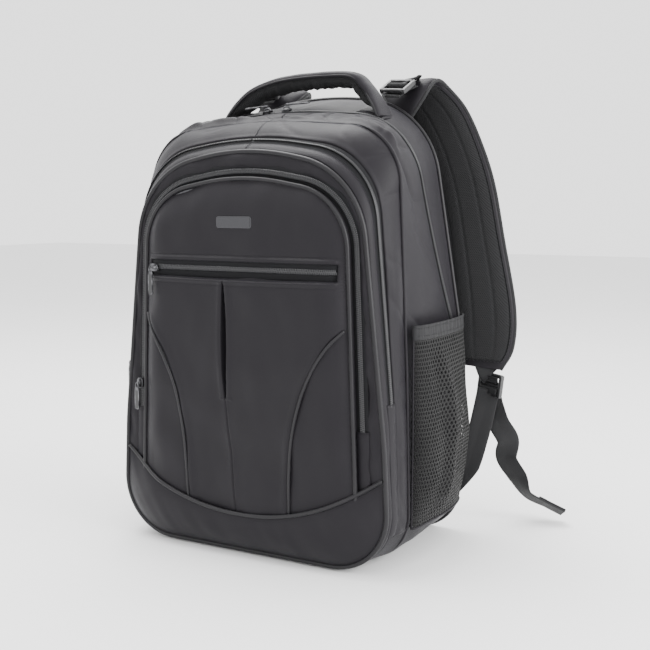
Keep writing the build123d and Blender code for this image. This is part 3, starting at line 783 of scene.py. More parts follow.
FLAP_BEND = ((0, -98, FLAP_HINGE_Z - 12), (0, -98, FLAP_HINGE_Z + 14))
LIP_BEND_Z = 440         # height given for the bends of the two lips


def keep_on_flap(piece, *nodes):
    """Keeps a piece of the organiser flap, its place baked into its mesh, and lets it stand for CAD nodes.
    """
    return keep_bent(piece, "pack", "organiser_flap", *FLAP_BEND, *nodes)


def keep_on_lip(piece, body, bend, side, *nodes):
    """Keeps a piece that runs from a side wall onto the part of the crown that folds open, its place baked
    into its mesh.
    """
    start, end = ((side * x, 0, LIP_BEND_Z) for x in bend)
    return keep_bent(piece, "pack", body, start, end, *nodes)


# ---------------------------------------------------------------- zippers

TOOTH_PITCH = 1.9
TOOTH_ACROSS = (-0.35, 2.7)     # from a little past the zipper's middle to the tooth's root
TOOTH_HALF = 0.55               # half length along the zipper
TOOTH_HEIGHT = 1.3


def add_teeth(name, line, outward, side, phase):
    """Adds one row of a zipper's teeth along its line."""
    line = spaced(line, 2.0)
    outward = unit(resample(outward, len(line)))
    length = distances(line)[-1]
    at = np.arange(phase, length - 1, TOOTH_PITCH) / length * (len(line) - 1)
    index = np.arange(len(line))
    centres, up = read_off(at, index, line), unit(read_off(at, index, outward))
    along = unit(read_off(at, index, np.gradient(line, axis=0)))
    across = unit(np.cross(along, up)) * side
    profile = ((TOOTH_ACROSS[0], 0), (TOOTH_ACROSS[0], TOOTH_HEIGHT * 0.7), (0.4, TOOTH_HEIGHT),
               (2.0, TOOTH_HEIGHT), (TOOTH_ACROSS[1], TOOTH_HEIGHT * 0.5), (TOOTH_ACROSS[1], 0))
    points = np.stack([centres + across * a + up * h + along * step
                       for step in (-TOOTH_HALF, TOOTH_HALF) for a, h in profile], axis=1)
    count = len(profile)
    sides = [(k, (k + 1) % count, (k + 1) % count + count, k + count) for k in range(count)]
    ends = [tuple(range(count - 1, -1, -1)), tuple(range(count, 2 * count))]
    faces = []
    for tooth in range(len(centres)):
        faces += [[tooth * 2 * count + k for k in face] for face in sides + ends]
    return add_mesh(name, points, faces, COIL, smooth=False)


def add_zipper_side(name, line, outward, edge, side, phase=0.0):
    """Adds one half of a zipper: its teeth, and its tape out to an edge line. Returns both."""
    count = max(8, len(line))
    line, outward = resample(line, count), unit(resample(outward, count))
    edge = resample(edge, count)
    steps = np.linspace(0, 1, 5)[:, None, None]
    inner = line + unit(edge - line) * 0.8
    grid = inner * (1 - steps) + edge * steps
    faces = grid_faces(5, count, flip=side > 0)
    tape = add_mesh(name + "_tape", grid, faces, TAPE, grid_distance(grid))
    solidify(tape, 0.7, 0.0)
    teeth = add_teeth(name + "_teeth", line + outward * 0.2, outward, side, phase)
    return teeth, tape


# ---------------------------------------------------------------- front of the organiser

SMILE_END = (155.0, 99.0)      # ends of the bottom band's seam, and its lowest point
SMILE_LOW = 47.0
EDGE_Y = -90.0                 # depth of the front's edge, at its piping
RECESS_HALF = 9.0              # half height of the pocket zipper's recess
PLEAT_X = -15.0
PLEAT_TOP_Z = 287.0
PLEAT_FOOT_Z = 166.0
PLEAT_SEAM_X = -6.0            # where the seam below the pleat meets the band
RIGHT_SEAM = ((118, 244), (103, 227), (87, 203), (73, 172), (63, 134), (59, 95), (58, 50))
LEFT_SEAM = ((-119, 250), (-106, 231), (-91, 205), (-78, 174), (-70, 134), (-67, 95), (-66, 50))


def smile_height(x):
    """Height of the bottom band's seam."""
    return SMILE_LOW + (SMILE_END[1] - SMILE_LOW) * (np.abs(x) / SMILE_END[0]) ** 2.1


def front_depth(x, z):
    """Depth of the front's surface before its seams and folds."""
    heights = (40, 70, 110, 150, 200, 260, 288, 312, 350, 395)
    depths = (-96.5, -98, -99.5, -101, -103, Y_POCKET, Y_POCKET, Y_CROWN - 1.5, -99, -96.5)
    belly = np.interp(z, heights, depths)
    arch = spaced(half_arch(), 3.0)
    distance = np.full(x.shape, 1e9)
    for px, pz in arch[arch[:, 1] > ARCH[1] + 6]:
        distance = np.minimum(distance, np.hypot(np.abs(x) - px, z - pz))
    rise = 1 - (1 - np.clip(distance / 30, 0, 1)) ** 2.4
    return EDGE_Y + (belly - EDGE_Y) * rise


def seam_distance(x, z, seam):
    """Distance to a curved seam, and its side: positive towards the middle."""
    line = smooth_line(seam, 160)
    distance = np.full(x.shape, 1e9)
    for px, pz in line:
        distance = np.minimum(distance, np.hypot(x - px, z - pz))
    at = np.interp(z, line[::-1, 1], line[::-1, 0])
    side = np.where(np.sign(seam[0][0]) * (at - x) > 0, 1.0, -1.0)
    return distance, side


def recess_relief(x, z):
    """How far the front is pressed in by the pocket zipper's recess and its stitched edges."""
    inside = smoothstep(POCKET_ZIP_HALF + 1 - np.abs(x), 0, 2)
    across = np.clip((x + POCKET_ZIP_HALF) / (2 * POCKET_ZIP_HALF), 0, 1)
    top = POCKET_ZIP_Z + RECESS_HALF
    foot = POCKET_ZIP_Z - RECESS_HALF - 1.2 * np.sin(across * math.pi)
    depth = 5.5 * smoothstep(z - foot, 0, 1.6) * smoothstep(top - z, 0, 1.6)
    edges = ((top + 2.2, 1.6, -1.2), (top + 5.4, 1.0, 0.8),
             (foot - 1.6, 1.5, -1.0), (foot - 5.0, 0.8, 0.45))
    for height, size, push in edges:
        depth = depth + push * np.exp(-((z - height) / size) ** 2)
    return depth * inside


def pleat_relief(x, z):
    """How far the front is pressed in by its pleat, the tack at its foot and the seam below it."""
    along = np.clip((z - PLEAT_FOOT_Z) / (PLEAT_TOP_Z - PLEAT_FOOT_Z), 0, 1)
    opening = 0.5 + 2.3 * np.sin(along * math.pi) ** 0.8
    in_pleat = smoothstep(z, PLEAT_FOOT_Z, PLEAT_FOOT_Z + 3) * smoothstep(PLEAT_TOP_Z + 1 - z, 0, 2)
    groove = np.exp(-((x - PLEAT_X) / opening) ** 4)
    roll = np.exp(-((np.abs(x - PLEAT_X) - opening - 3.0) / 3.2) ** 2)
    depth = in_pleat * (8.0 * groove - 0.9 * roll)
    down = np.clip((PLEAT_FOOT_Z - z) / 110, 0, 1)
    from_seam = x - PLEAT_X - (PLEAT_SEAM_X - PLEAT_X) * down
    below = smoothstep(PLEAT_FOOT_Z + 1 - z, 0, 2)
    seam = 1.3 * np.exp(-(from_seam / 0.9) ** 2) - 0.5 * np.exp(-(from_seam / 5) ** 2)
    near_tack = smoothstep(8.0 - np.abs(x - PLEAT_X - 1), 0, 1.5)
    tack = np.exp(-((z - PLEAT_FOOT_Z - 1) / 1.2) ** 2) * near_tack
    return depth + below * seam - 0.9 * tack


def seam_relief(x, z, seam):
    """How far the front is pressed in at a curved seam. The outer side lies lower."""
    distance, side = seam_distance(x, z, seam)
    on_seam = smoothstep(seam[0][1] + 3 - z, 0, 6)
    lower = smoothstep(-side * distance, 0, 3) * np.exp(-np.maximum(-side * distance, 0) / 30)
    ridge = np.exp(-((side * distance - 5) / 3.5) ** 2)
    return on_seam * (1.8 * np.exp(-(distance / 1.7) ** 2) + 1.3 * lower - 0.8 * ridge)


def front_relief(x, z):
    """How far the front is pressed in by its recess, pleat and seams."""
    seams = seam_relief(x, z, LEFT_SEAM) + seam_relief(x, z, RIGHT_SEAM)
    return recess_relief(x, z) + pleat_relief(x, z) + seams


def front_columns():
    """Fractions of the half width at which the front has columns, close together at its folds."""
    half = (ARCH[0] + ARCH[2]) / 2
    fine = np.arange(PLEAT_X - 9, PLEAT_X + 18, 0.7) / half
    edges = np.arange(POCKET_ZIP_HALF - 3, POCKET_ZIP_HALF + 4, 0.8) / half
    coarse = np.arange(-1, 1.0001, 0.016)
    near = [abs(coarse - value) for value in (*fine, *edges, *-edges)]
    coarse = coarse[np.min(near, axis=0) > 0.008]
    return np.sort(np.concatenate([coarse, fine, edges, -edges]))


def front_rows(split_z):
    """Heights at which the front has rows, close together at the pocket's zipper."""
    zones = (
        (ARCH[1], PLEAT_FOOT_Z - 4, 2.2), (PLEAT_FOOT_Z - 4, PLEAT_FOOT_Z + 6, 0.8),
        (PLEAT_FOOT_Z + 6, POCKET_ZIP_Z - 18, 2.0), (POCKET_ZIP_Z - 18, POCKET_ZIP_Z + 17, 0.6),
        (POCKET_ZIP_Z + 17, split_z, 1.8),
    )
    return np.concatenate([np.arange(a, b, step) for a, b, step in zones] + [[split_z]])


def front_points():
    """Points of the whole front inside the inner arch."""
    arch = half_arch(0.6)
    steep = np.abs(np.diff(arch[:, 1])) > np.abs(np.diff(arch[:, 0]))
    split = int(np.max(np.nonzero(steep)))
    split_x, split_z = arch[split]
    columns, rows = front_columns()[None, :], front_rows(split_z)[:, None]
    half = np.interp(rows, arch[40:split + 1, 1], arch[40:split + 1, 0])
    x = half * columns
    crown = np.interp(np.abs(columns * split_x), arch[:split:-1, 0], arch[:split:-1, 1])
    flat_top, full_lift = POCKET_ZIP_Z + 16, split_z + 6
    lift = smoothstep(rows, flat_top, full_lift) / smoothstep(split_z, flat_top, full_lift)
    z = rows + lift * (crown - split_z)
    y = front_depth(x, z) + front_relief(x, z)
    points = np.stack([x, y, z], axis=-1)
    soft = noise_at(points * (1, 0, 1), 46, 3.1) * 1.6
    soft = soft + noise_at(points * (1, 0, 0.6), 20, 8.7) * 0.5
    calm = smoothstep(np.abs(z - POCKET_ZIP_Z), 8, 26) * 0.8 + 0.2
    points[..., 1] += soft * calm * np.minimum(1, (np.abs(half) - np.abs(x)) / 14)
    return points


def add_front():
    """The organiser's front: one sheet from below its fold up over the flap, with its piping."""
    points = front_points()
    piece = add_sheet("front_cover", points[::-1], BODY)
    keep_on_flap(piece, "front_panel", "flap_crown", "pocket_panel")
    for name, seam in (("left", LEFT_SEAM), ("right", RIGHT_SEAM)):
        line = smooth_line(seam, 110)
        depth = front_depth(line[:, 0], line[:, 1]) - 0.4
        path = np.stack([line[:, 0], depth, line[:, 1]], axis=1)
        keep_on_flap(add_tube("seam_piping_" + name, path, 1.5, PIPING))
    arch = spaced(both_sides(arch_line(1.6, EDGE_Y - 0.5, 58, 240)), 2.5)
    keep_on_flap(add_tube("flap_piping", arch, 2.2, PIPING, sides=12), "flap_piping")


def add_flap_lining():
    """Inside of the flap, with a bound edge."""
    line = half_arch(-1.5)
    rows = 60
    half = between(line, at_height(FLAP_HINGE_Z + 1), crown_end, rows)
    steps = np.linspace(-1, 1, 41)
    x = half[:, :1] * steps[None, :]
    z = np.broadcast_to(half[:, 1:], x.shape)
    y = np.full(x.shape, EDGE_Y + 1.5) + noise_at(np.stack([x, x * 0, z], axis=-1), 40, 5.5) * 0.5
    lining = add_sheet("flap_lining", np.stack([x, y, z], axis=-1), LINING, thickness=0.9)
    keep(lining, "organiser_flap", "flap_panel")
    edge = spaced(both_sides(np.insert(half, 1, EDGE_Y + 2.4, axis=1)), 3.0)
    keep(add_tube("flap_binding", edge, 1.6, TAPE, flat=1.6), "organiser_flap")


def add_pocket_zipper():
    """Zipper of the front pocket in its recess."""
    count = 150
    x = np.linspace(-POCKET_ZIP_HALF, POCKET_ZIP_HALF, count)
    y = front_depth(x, np.full(count, POCKET_ZIP_Z)) + 3.6
    line = np.stack([x, y, np.full(count, POCKET_ZIP_Z + 1.0)], axis=1)
    outward = np.broadcast_to((0.0, -1.0, 0.0), line.shape)
    for name, side, phase in (("upper", 1, 0.4), ("lower", -1, 1.35)):
        edge = line + np.array((0, 0.5, side * (RECESS_HALF + 1)))
        teeth, tape = add_zipper_side("pocket_zip_" + name, line, outward, edge, side, phase)
        keep(teeth, "organiser_flap")
        keep(tape, "organiser_flap", *once(side, "pocket_zipper"))


def add_bottom_band():
    """Curved band across the foot of the front, with its piping."""
    count, rows = 181, 40
    u = np.linspace(-1, 1, count)
    end = between(half_outline(Y_PIPING, -1.0), at_foot, at_height(SMILE_END[1]), 400)
    outer = read_off(np.abs(u) ** 0.85, np.linspace(0, 1, 400), end)
    outer_x, outer_z = outer[:, 0] * np.sign(u), outer[:, 1]
    inner_x = u * SMILE_END[0]
    inner_z = smile_height(inner_x)
    front = Y_BAND + 0.6 + 15.5 * smoothstep(np.abs(inner_x), 96, 156)
    v = np.linspace(0, 1, rows)[:, None]
    x = inner_x * (1 - v) + outer_x * v
    z = inner_z * (1 - v) + outer_z * v
    y = front + (Y_PIPING + 0.5 - front) * v ** 2.6
    points = np.stack([x, y, z], axis=-1)
    span = np.abs(inner_z - outer_z) / 60
    arc = v * (1 - v) * 4
    puff = 3.4 * arc ** 0.7 * np.minimum(1, span)
    slanted = points * (1.0, 0, 0.35) + points[..., ::-1] * (0.5, 0, 0)
    folds = noise_at(slanted, 17, 2.2) * 0.7 + noise_at(points, 45, 4.0) * 0.6
    points[..., 1] -= puff + folds * arc
    piece = add_sheet("bottom_band", points, BODY)
    keep(piece, "pack", "bottom_band")
    path = np.stack([inner_x, front - 1.0, inner_z + 0.5], axis=1)
    keep(add_tube("band_piping", spaced(path, 2.5), 2.0, PIPING, sides=12), "pack", "band_piping")


# ---------------------------------------------------------------- border and zippers of the front

ZIP_1_OUT = 9.0          # the organiser's zipper runs this far outside the inner arch
ZIP_1_Y = -84.6          # its depth
ZIP_1_END_Z = 128.0      # height of its two lower ends
BORDER_IN = 14.0         # the border starts about this far outside the inner arch


def arch_line(grow, y, lower_z, count):
    """Right half of a line around the inner arch, from a height to the crown."""
    return np.insert(between(half_arch(grow), at_height(lower_z), crown_end, count), 1, y, axis=1)


def body_line(grow, y, lower_z, count):
    """Right half of a line around the body, from a height to the crown."""
    half = between(half_outline(y, grow), at_height(lower_z), crown_end, count)
    return np.insert(half, 1, y, axis=1)


def body_loop(outline, y, steps, count, lowest_z):
    """Closed line all round the body at a depth, kept above a height so that it clears the floor."""
    half = between(outline, at_foot, crown_end, steps)
    loop = closed_line(both_sides(np.insert(half, 1, y, axis=1))[:-1], count)
    loop[:, 2] = np.maximum(loop[:, 2], lowest_z)
    return loop


def add_border():
    """Front of the middle compartment around the organiser, from its zipper to the outer piping."""
    count, rows = 220, 16
    inner = arch_line(BORDER_IN - 4.0, Y_BORDER - 0.4, 86, count)
    outer = body_line(-1.0, Y_PIPING + 0.6, 86, count)
    v = np.linspace(0, 1, rows)[:, None, None]
    points = both_sides(inner * (1 - v) + outer * v)
    arc = np.sin(np.linspace(0, 1, rows) * math.pi)[:, None]
    folds = noise_at(points, 34, 1.3) * 2.6 + noise_at(points, 13, 6.1) * 0.8
    roll = np.exp(-((np.linspace(0, 1, rows)[:, None] - 0.06) / 0.05) ** 2)
    points[..., 1] -= 2.6 * arc ** 0.6 + folds * arc + 0.8 * roll
    keep(add_sheet("front_border", points, BODY), "pack", "front_border")


def add_organiser_zipper():
    """Zipper around the organiser: its outer row on the body, and its inner row on the flap."""
    count = 360
    line = both_sides(arch_line(ZIP_1_OUT, ZIP_1_Y, ZIP_1_END_Z, count))
    outward = np.broadcast_to((0.0, -1.0, 0.0), line.shape)
    outer = both_sides(arch_line(BORDER_IN + 1.5, ZIP_1_Y + 1.2, ZIP_1_END_Z, count))
    inner = both_sides(arch_line(3.0, ZIP_1_Y + 0.6, ZIP_1_END_Z, count))
    teeth, tape = add_zipper_side("organiser_zip_outer", line, outward, outer, -1)
    keep(teeth, "pack")
    keep(tape, "pack", "organiser_zipper")
    teeth, tape = add_zipper_side("organiser_zip_inner", line, outward, inner, 1, TOOTH_PITCH / 2)
    keep_on_flap(teeth)
    keep_on_flap(tape)


def add_organiser_gusset():
    """Short wall behind the organiser's piping, all round the arch."""
    count = 240
    front = both_sides(arch_line(0.8, EDGE_Y + 0.6, 60, count))
    back = both_sides(arch_line(3.4, ZIP_1_Y + 1.6, 60, count))
    v = np.linspace(0, 1, 5)[:, None, None]
    wall = front * (1 - v) + back * v
    keep_on_flap(add_sheet("organiser_gusset", wall, BODY), "organiser_gusset")


def add_outer_piping():
    """Piping all round the front of the body."""
    loop = body_loop(half_outline(Y_PIPING, -0.6), Y_PIPING, 500, 560, 2.6)
    keep(add_tube("outer_piping", loop, 2.5, PIPING, closed=True, sides=12), "pack", "outer_piping")


def add_rim():
    """Narrow strip between the outer piping and the middle zipper, and right round the base."""
    for name, side in SIDES.items():
        last = np.full(200, Y_MIDDLE_ZIP - ZIP_HALF + 0.8)
        points = skin(rows_between(np.full(200, Y_PIPING + 1.5), last, 7), at_foot, crown_end)
        arc = np.sin(np.linspace(0, 1, 7) * math.pi)[:, None]
        points = raised(points, 1.0 * arc + noise_at(points, 30, 2.0) * 0.5 * arc)
        keep(add_sheet("front_rim_" + name, points, BODY, side), "pack")


def add_middle_zipper():
    """Zipper of the middle compartment. Over the crown its back row lies on the lip."""
    count = 330
    key = at_height(MIDDLE_ZIP_END_Z)
    for name, side in SIDES.items():
        mirror = np.array((side, 1, 1))

        def line_at(shift, grow):
            return skin(np.full((1, count), Y_MIDDLE_ZIP + shift), key, crown_end, grow)[0]

        line = line_at(0.0, 0.3)
        outward = unit(np.cross((0.0, 1.0, 0.0), np.gradient(line, axis=0))) * mirror
        line = line * mirror
        front = line_at(-ZIP_HALF - 0.5, -0.6) * mirror
        back = line_at(ZIP_HALF + 0.5, -0.6) * mirror
        teeth, tape = add_zipper_side("middle_zip_front_" + name, line, outward, front, -side)
        keep(teeth, "pack")
        keep(tape, "pack", *once(side, "middle_zipper"))
        teeth, tape = add_zipper_side("middle_zip_back_" + name, line, outward, back, side,
                                      TOOTH_PITCH / 2)
        keep_on_lip(teeth, "middle_mouth_lip", MIDDLE_LIP_BEND, side)
        keep_on_lip(tape, "middle_mouth_lip", MIDDLE_LIP_BEND, side)


# ---------------------------------------------------------------- side walls and crown

def wall_relief(points, bulge, wrinkle, seed):
    """How far a fabric wall stands out between its seams: its bulge, soft dents and gathers."""
    share = edge_share(points.shape[:2], columns=False)
    dents = noise_at(points * (1, 1, 0.75), 62, seed) * wrinkle * share
    slant = points @ np.array([[0.9, 0.2, 0.1], [0.1, 0.5, 0.8], [-0.5, 0.9, 0.4]])
    ridges = (1 - np.abs(noise_at(slant * (1, 0.45, 1), 44, seed + 5)) * 2.2).clip(0, 1) ** 3
    creases = ridges * wrinkle * 0.5 * share
    gathers = noise_at(points, 13, seed + 9) * np.exp(-share * 3.0) * 0.5 * (share > 0.02)
    return bulge * share + dents - creases + gathers


def add_middle_gusset():
    """Wall between the middle zipper and the seam. Its crown stands for the middle lip."""
    columns, rows = 260, 16
    for name, side in SIDES.items():
        zipped = np.full(columns, Y_MIDDLE_ZIP + ZIP_HALF - 0.6)
        ys = rows_between(zipped, np.full(columns, Y_SEAM), rows)
        points = skin(ys, at_height(BASE_TOP_Z - 2), crown_end)
        relief = wall_relief(points * np.array((side, 1, 1)), 2.2, 2.0, 11.0)
        fold = np.exp(-((np.linspace(0, 1, rows)[:, None] - 0.05) / 0.05) ** 2) * 0.8
        piece = add_sheet("middle_gusset_" + name, raised(points, relief + fold), BODY, side)
        keep_on_lip(piece, "middle_mouth_lip", MIDDLE_LIP_BEND, side,
                    *once(side, "middle_gusset", "middle_lip"))


def add_seam():
    """Raised seam between the middle and the main compartment, down each side."""
    for name, side in SIDES.items():
        line = skin(np.full((1, 200), Y_SEAM), at_height(8), at_crown(MAIN_LIP_BEND[0] - 14), 0.9)[0]
        line = spaced(line * np.array((side, 1, 1)), 3.0)
        ends = np.minimum(1, np.minimum(np.arange(len(line)), np.arange(len(line))[::-1]) / 10 + 0.1)
        keep(add_tube("side_seam_" + name, line, 1.9 * ends, BODY), "pack")


def add_main_wall():
    """Side wall of the main compartment and its share of the crown, up to the zipper."""
    columns, rows = 300, 64
    key = at_height(BASE_TOP_Z - 2)
    for name, side in SIDES.items():
        last = zip_row(key, crown_end, columns, -ZIP_HALF + 0.6)
        points = skin(rows_between(np.full(columns, Y_SEAM), last, rows), key, crown_end)
        relief = wall_relief(points * np.array((side, 1, 1)), 3.4, 5.2, 21.0)
        behind = smoothstep(points[..., 2], POCKET_TOP_Z - 10, POCKET_TOP_Z + 30)
        roll = np.exp(-((np.linspace(0, 1, rows)[:, None] - 0.2) / 0.09) ** 2)
        roll = roll * smoothstep(points[..., 2], 400, 440)
        relief = relief + roll * (2.4 + noise_at(points * (side, 1, 1), 24, 27.0) * 3.0)
        points = raised(points, relief * (0.35 + 0.65 * behind))
        piece = add_sheet("main_wall_" + name, points, BODY, side)
        keep_on_lip(piece, "main_mouth_lip", MAIN_LIP_BEND, side,
                    *once(side, "side_panel_right", "side_panel_left", "main_lip"))


def add_main_zipper():
    """Zipper of the main compartment. Over the crown its front row lies on the lip."""
    count = 400
    key = at_height(ZIP_END[1])
    for name, side in SIDES.items():
        mirror = np.array((side, 1, 1))

        def line_at(shift, grow):
            ys = zip_row(key, crown_end, count, shift, grow)[None, :]
            return skin(ys, key, crown_end, grow)[0] * mirror

        line = line_at(0.0, 0.3)
        front, back = line_at(-ZIP_HALF - 0.6, -0.6), line_at(ZIP_HALF + 0.6, -0.6)
        outward = unit(np.cross(unit(back - front), np.gradient(line, axis=0))) * side
        outward *= np.sign((outward * (line - (0, 0, 250))).sum(1, keepdims=True))
        teeth, tape = add_zipper_side("main_zip_back_" + name, line, outward, back, side)
        keep(teeth, "pack")
        keep(tape, "pack", *once(side, "main_zipper"))
        teeth, tape = add_zipper_side("main_zip_front_" + name, line, outward, front, -side,
                                      TOOTH_PITCH / 2)
        keep_on_lip(teeth, "main_mouth_lip", MAIN_LIP_BEND, side)
        keep_on_lip(tape, "main_mouth_lip", MAIN_LIP_BEND, side)


def add_back_gusset():
    """Strip behind the main zipper, over the top, that carries the handle."""
    columns, rows = 260, 24
    key = at_height(BASE_TOP_Z - 2)
    first = zip_row(key, crown_end, columns, ZIP_HALF - 0.6)
    ys = rows_between(first, np.full(columns, Y_BACK), rows)
    points = both_sides(skin(ys, key, crown_end))
    width = np.linalg.norm(points[-1] - points[0], axis=1)[None, :] / 60
    relief = wall_relief(points, 1.8, 1.8, 31.0) * np.minimum(1, width)
    keep(add_sheet("back_gusset", raised(points, relief), BODY), "pack", "back_gusset")
    loop = body_loop(half_outline(Y_BACK, 0.8), Y_BACK + 1.2, 400, 440, 2.3)
    keep(add_tube("back_piping", loop, 2.2, PIPING, closed=True), "pack")


def add_base():
    """Tub that the bag stands on, flat underneath."""
    columns, rows = 90, 70
    ys = rows_between(np.full(columns, Y_MIDDLE_ZIP - 4), np.full(columns, Y_BACK), rows)
    points = both_sides(skin(ys, at_foot, at_height(BASE_TOP_Z + 1), 0.0)[:, ::-1])
    share = edge_share(points.shape[:2], columns=False)
    standing = smoothstep(points[..., 2], 2.0, 14.0)
    relief = (1.6 + noise_at(points, 32, 41.0) * 1.6) * share * standing
    points = raised(points, -relief)
    points[..., 2] = np.maximum(points[..., 2], 0.2)
    keep(add_sheet("base_panel", points[::-1], BODY), "pack", "base_panel")


# ---------------------------------------------------------------- small parts that repeat

def joined(name, pieces):
    """Joins several pieces into one, with their modifiers applied."""
    bpy.context.view_layer.update()
    graph = bpy.context.evaluated_depsgraph_get()
    for piece in pieces:
        mesh = bpy.data.meshes.new_from_object(piece.evaluated_get(graph))
        piece.modifiers.clear()
        piece.data = mesh
    with bpy.context.temp_override(active_object=pieces[0], selected_editable_objects=pieces):
        bpy.ops.object.join()
    pieces[0].name = name
    return pieces[0]


def add_stitches(name, path, outward, material, length=2.6, gap=1.3, half=0.32):
    """Adds a row of stitches along a path, each a small pointed bead."""
    path = spaced(path, 1.0)
    if np.ndim(outward) == 1:
        outward = unit(np.broadcast_to(outward, (len(path), 3)))
    else:
        outward = unit(resample(outward, len(path)))
    total = distances(path)[-1]
    at = np.arange(length, total - length, length + gap) / total * (len(path) - 1)
    index = np.arange(len(path))
    centre, up = read_off(at, index, path), unit(read_off(at, index, outward))
    along = unit(read_off(at, index, np.gradient(path, axis=0)))
    across = np.cross(along, up)
    corners = np.stack([
        centre - along * length / 2, centre + across * half + up * 0.15, centre + up * half * 1.5,
        centre - across * half + up * 0.15, centre + along * length / 2,
    ], axis=1)
    shape = ((0, 1, 2), (0, 2, 3), (4, 2, 1), (4, 3, 2), (0, 3, 1), (4, 1, 3))
    faces = [[5 * k + corner for corner in face] for k in range(len(centre)) for face in shape]
    return add_mesh(name, corners, faces, material)


def plate(name, outline, lower, upper, material, frame_axes, width=0.25):
    """Adds a flat plate with an outline, between two heights of a local frame, its edges rounded."""
    origin, x_axis, y_axis, z_axis = frame_axes
    outline = np.asarray(outline, float)
    points = []
    for height in (lower, upper):
        points.append(origin + outline[:, :1] * x_axis + outline[:, 1:] * y_axis + height * z_axis)
    count = len(outline)
    faces = [[k, (k + 1) % count, (k + 1) % count + count, k + count] for k in range(count)]
    faces += [list(range(count - 1, -1, -1)), list(range(count, 2 * count))]
    return bevel(add_mesh(name, np.vstack(points), faces, material, smooth=False), width)


def rounded_outline(points, radius):
    """Closed outline with rounded corners."""
    count = len(points)
    return np.vstack([fillet(points[k - 1], points[k], points[(k + 1) % count], radius, 6)
                      for k in range(count)])


def local_points(frame_axes, points):
    """Points of a local frame in the frame of the bag."""
    origin, x_axis, y_axis, z_axis = frame_axes
    points = np.asarray(points, float)
    return origin + points[:, :1] * x_axis + points[:, 1:2] * y_axis + points[:, 2:3] * z_axis


def make_frame(origin, x_axis, z_axis):
    """A local frame from its origin, its X axis and its Z axis."""
    z_axis = unit(np.array(z_axis, float))
    x_axis = np.array(x_axis, float)
    x_axis = unit(x_axis - z_axis * (x_axis @ z_axis))
    return np.array(origin, float), x_axis, np.cross(z_axis, x_axis), z_axis


# ---------------------------------------------------------------- sliders, pulls and badge

BODY_CENTRE_DROP = 1.2   # from the middle of a slider's box down to the middle of its body
PULL_MIDDLE = 13.8       # from a pull's hinge to its middle
CROWN_RADIUS = 482       # radius of the crown that the main sliders travel on


def add_slider(name, node, body, x_axis, z_axis):
    """A zipper slider: a rounded top plate, two side flanges and a bail over the top."""
    z_axis = unit(np.array(z_axis, float))
    axes = make_frame(middle(node) - z_axis * BODY_CENTRE_DROP, x_axis, z_axis)
    shield = rounded_outline(((-5.5, -2.4), (-2.0, -4.0), (3.4, -4.0), (5.5, -2.0), (5.5, 2.0), (3.4, 4.0),
                              (-2.0, 4.0), (-5.5, 2.4)), 1.2)
    pieces = [plate(name, shield, 0.9, 2.3, METAL, axes, 0.45),
              plate(name + "_low", shield * 0.96, -2.2, -1.1, METAL, axes)]
    for side in (-1, 1):
        flange = np.array(((-4.6, 2.9), (4.2, 3.3), (4.2, 3.9), (-4.6, 3.7)))[::side] * (1, side)
        pieces.append(plate(name + "_flange", flange, -1.6, 1.2, METAL, axes, 0.15))
    bail = smooth_line(((-3.8, 0, 2.0), (-3.0, 0, 3.6), (0, 0, 4.4), (3.0, 0, 3.6), (3.8, 0, 2.0)), 24)
    pieces.append(add_tube(name + "_bail", local_points(axes, bail), 0.75, METAL, sides=8, flat=1.5))
    keep(joined(name, pieces), body, node)


def add_pull(name, node, body, x_axis, z_axis):
    """A pull tab that hangs along -X from its hinge: a ring, a metal rim and a sunk grip."""
    centre, *directions = make_frame(middle(node), x_axis, z_axis)
    axes = (centre + directions[0] * PULL_MIDDLE, *directions)
    rim = rounded_outline(((-3.6, -2.1), (-3.6, 2.1), (-8, 2.9), (-28.4, 2.9), (-28.4, -2.9),
                           (-8, -2.9)), 1.9)[::-1]
    grip = rounded_outline(((-7.6, -1.7), (-7.6, 1.7), (-27.2, 1.9), (-27.2, -1.9)), 1.2)[::-1]
    pieces = [plate(name, rim, -0.8, 0.8, METAL, axes, 0.4),
              plate(name + "_grip", grip, -1.0, 1.0, PLASTIC, axes, 0.2)]
    turn = np.linspace(0, 2 * math.pi, 28, endpoint=False)
    ring = np.stack([-2.2 + 3.1 * np.cos(turn), 1.7 * np.sin(turn), 0 * turn], axis=1)
    pieces.append(add_tube(name + "_ring", local_points(axes, ring), 0.6, METAL, closed=True, sides=8))
    keep(joined(name, pieces), body, node)


def add_sliders():
    """All sliders and their pulls."""
    for name, turn in (("left", 1), ("right", -1)):
        x, _, z = middle("main_slider_" + name)
        centre_z = low("main_slider_" + name, 2) - CROWN_RADIUS
        normal = unit(np.array((x, 0, z - centre_z))) + np.array((0, -0.27, 0))
        along = np.array((normal[2], 0, -normal[0]))
        add_slider("main_slider_top_" + name, "main_slider_" + name, "main_slide_" + name, along, normal)
        add_pull("main_pull_tab_" + name, "main_pull_" + name, "main_tab_" + name, along * turn, normal)
    for name, along, normal, face in (
        ("middle", (0.086, 0, 0.996), (-1, 0, 0.086), (-1, 0, 0)),
        ("organiser", (0.04, 0, 1), (0, -1, 0), (0, -1, 0)),
        ("pocket", (1, 0, 0), (0, -1, 0), (0, -1, 0)),
    ):
        add_slider(name + "_zip_slider", name + "_slider", name + "_slide", along, normal)
        add_pull(name + "_zip_pull", name + "_pull", name + "_tab", (0, 0, 1), face)


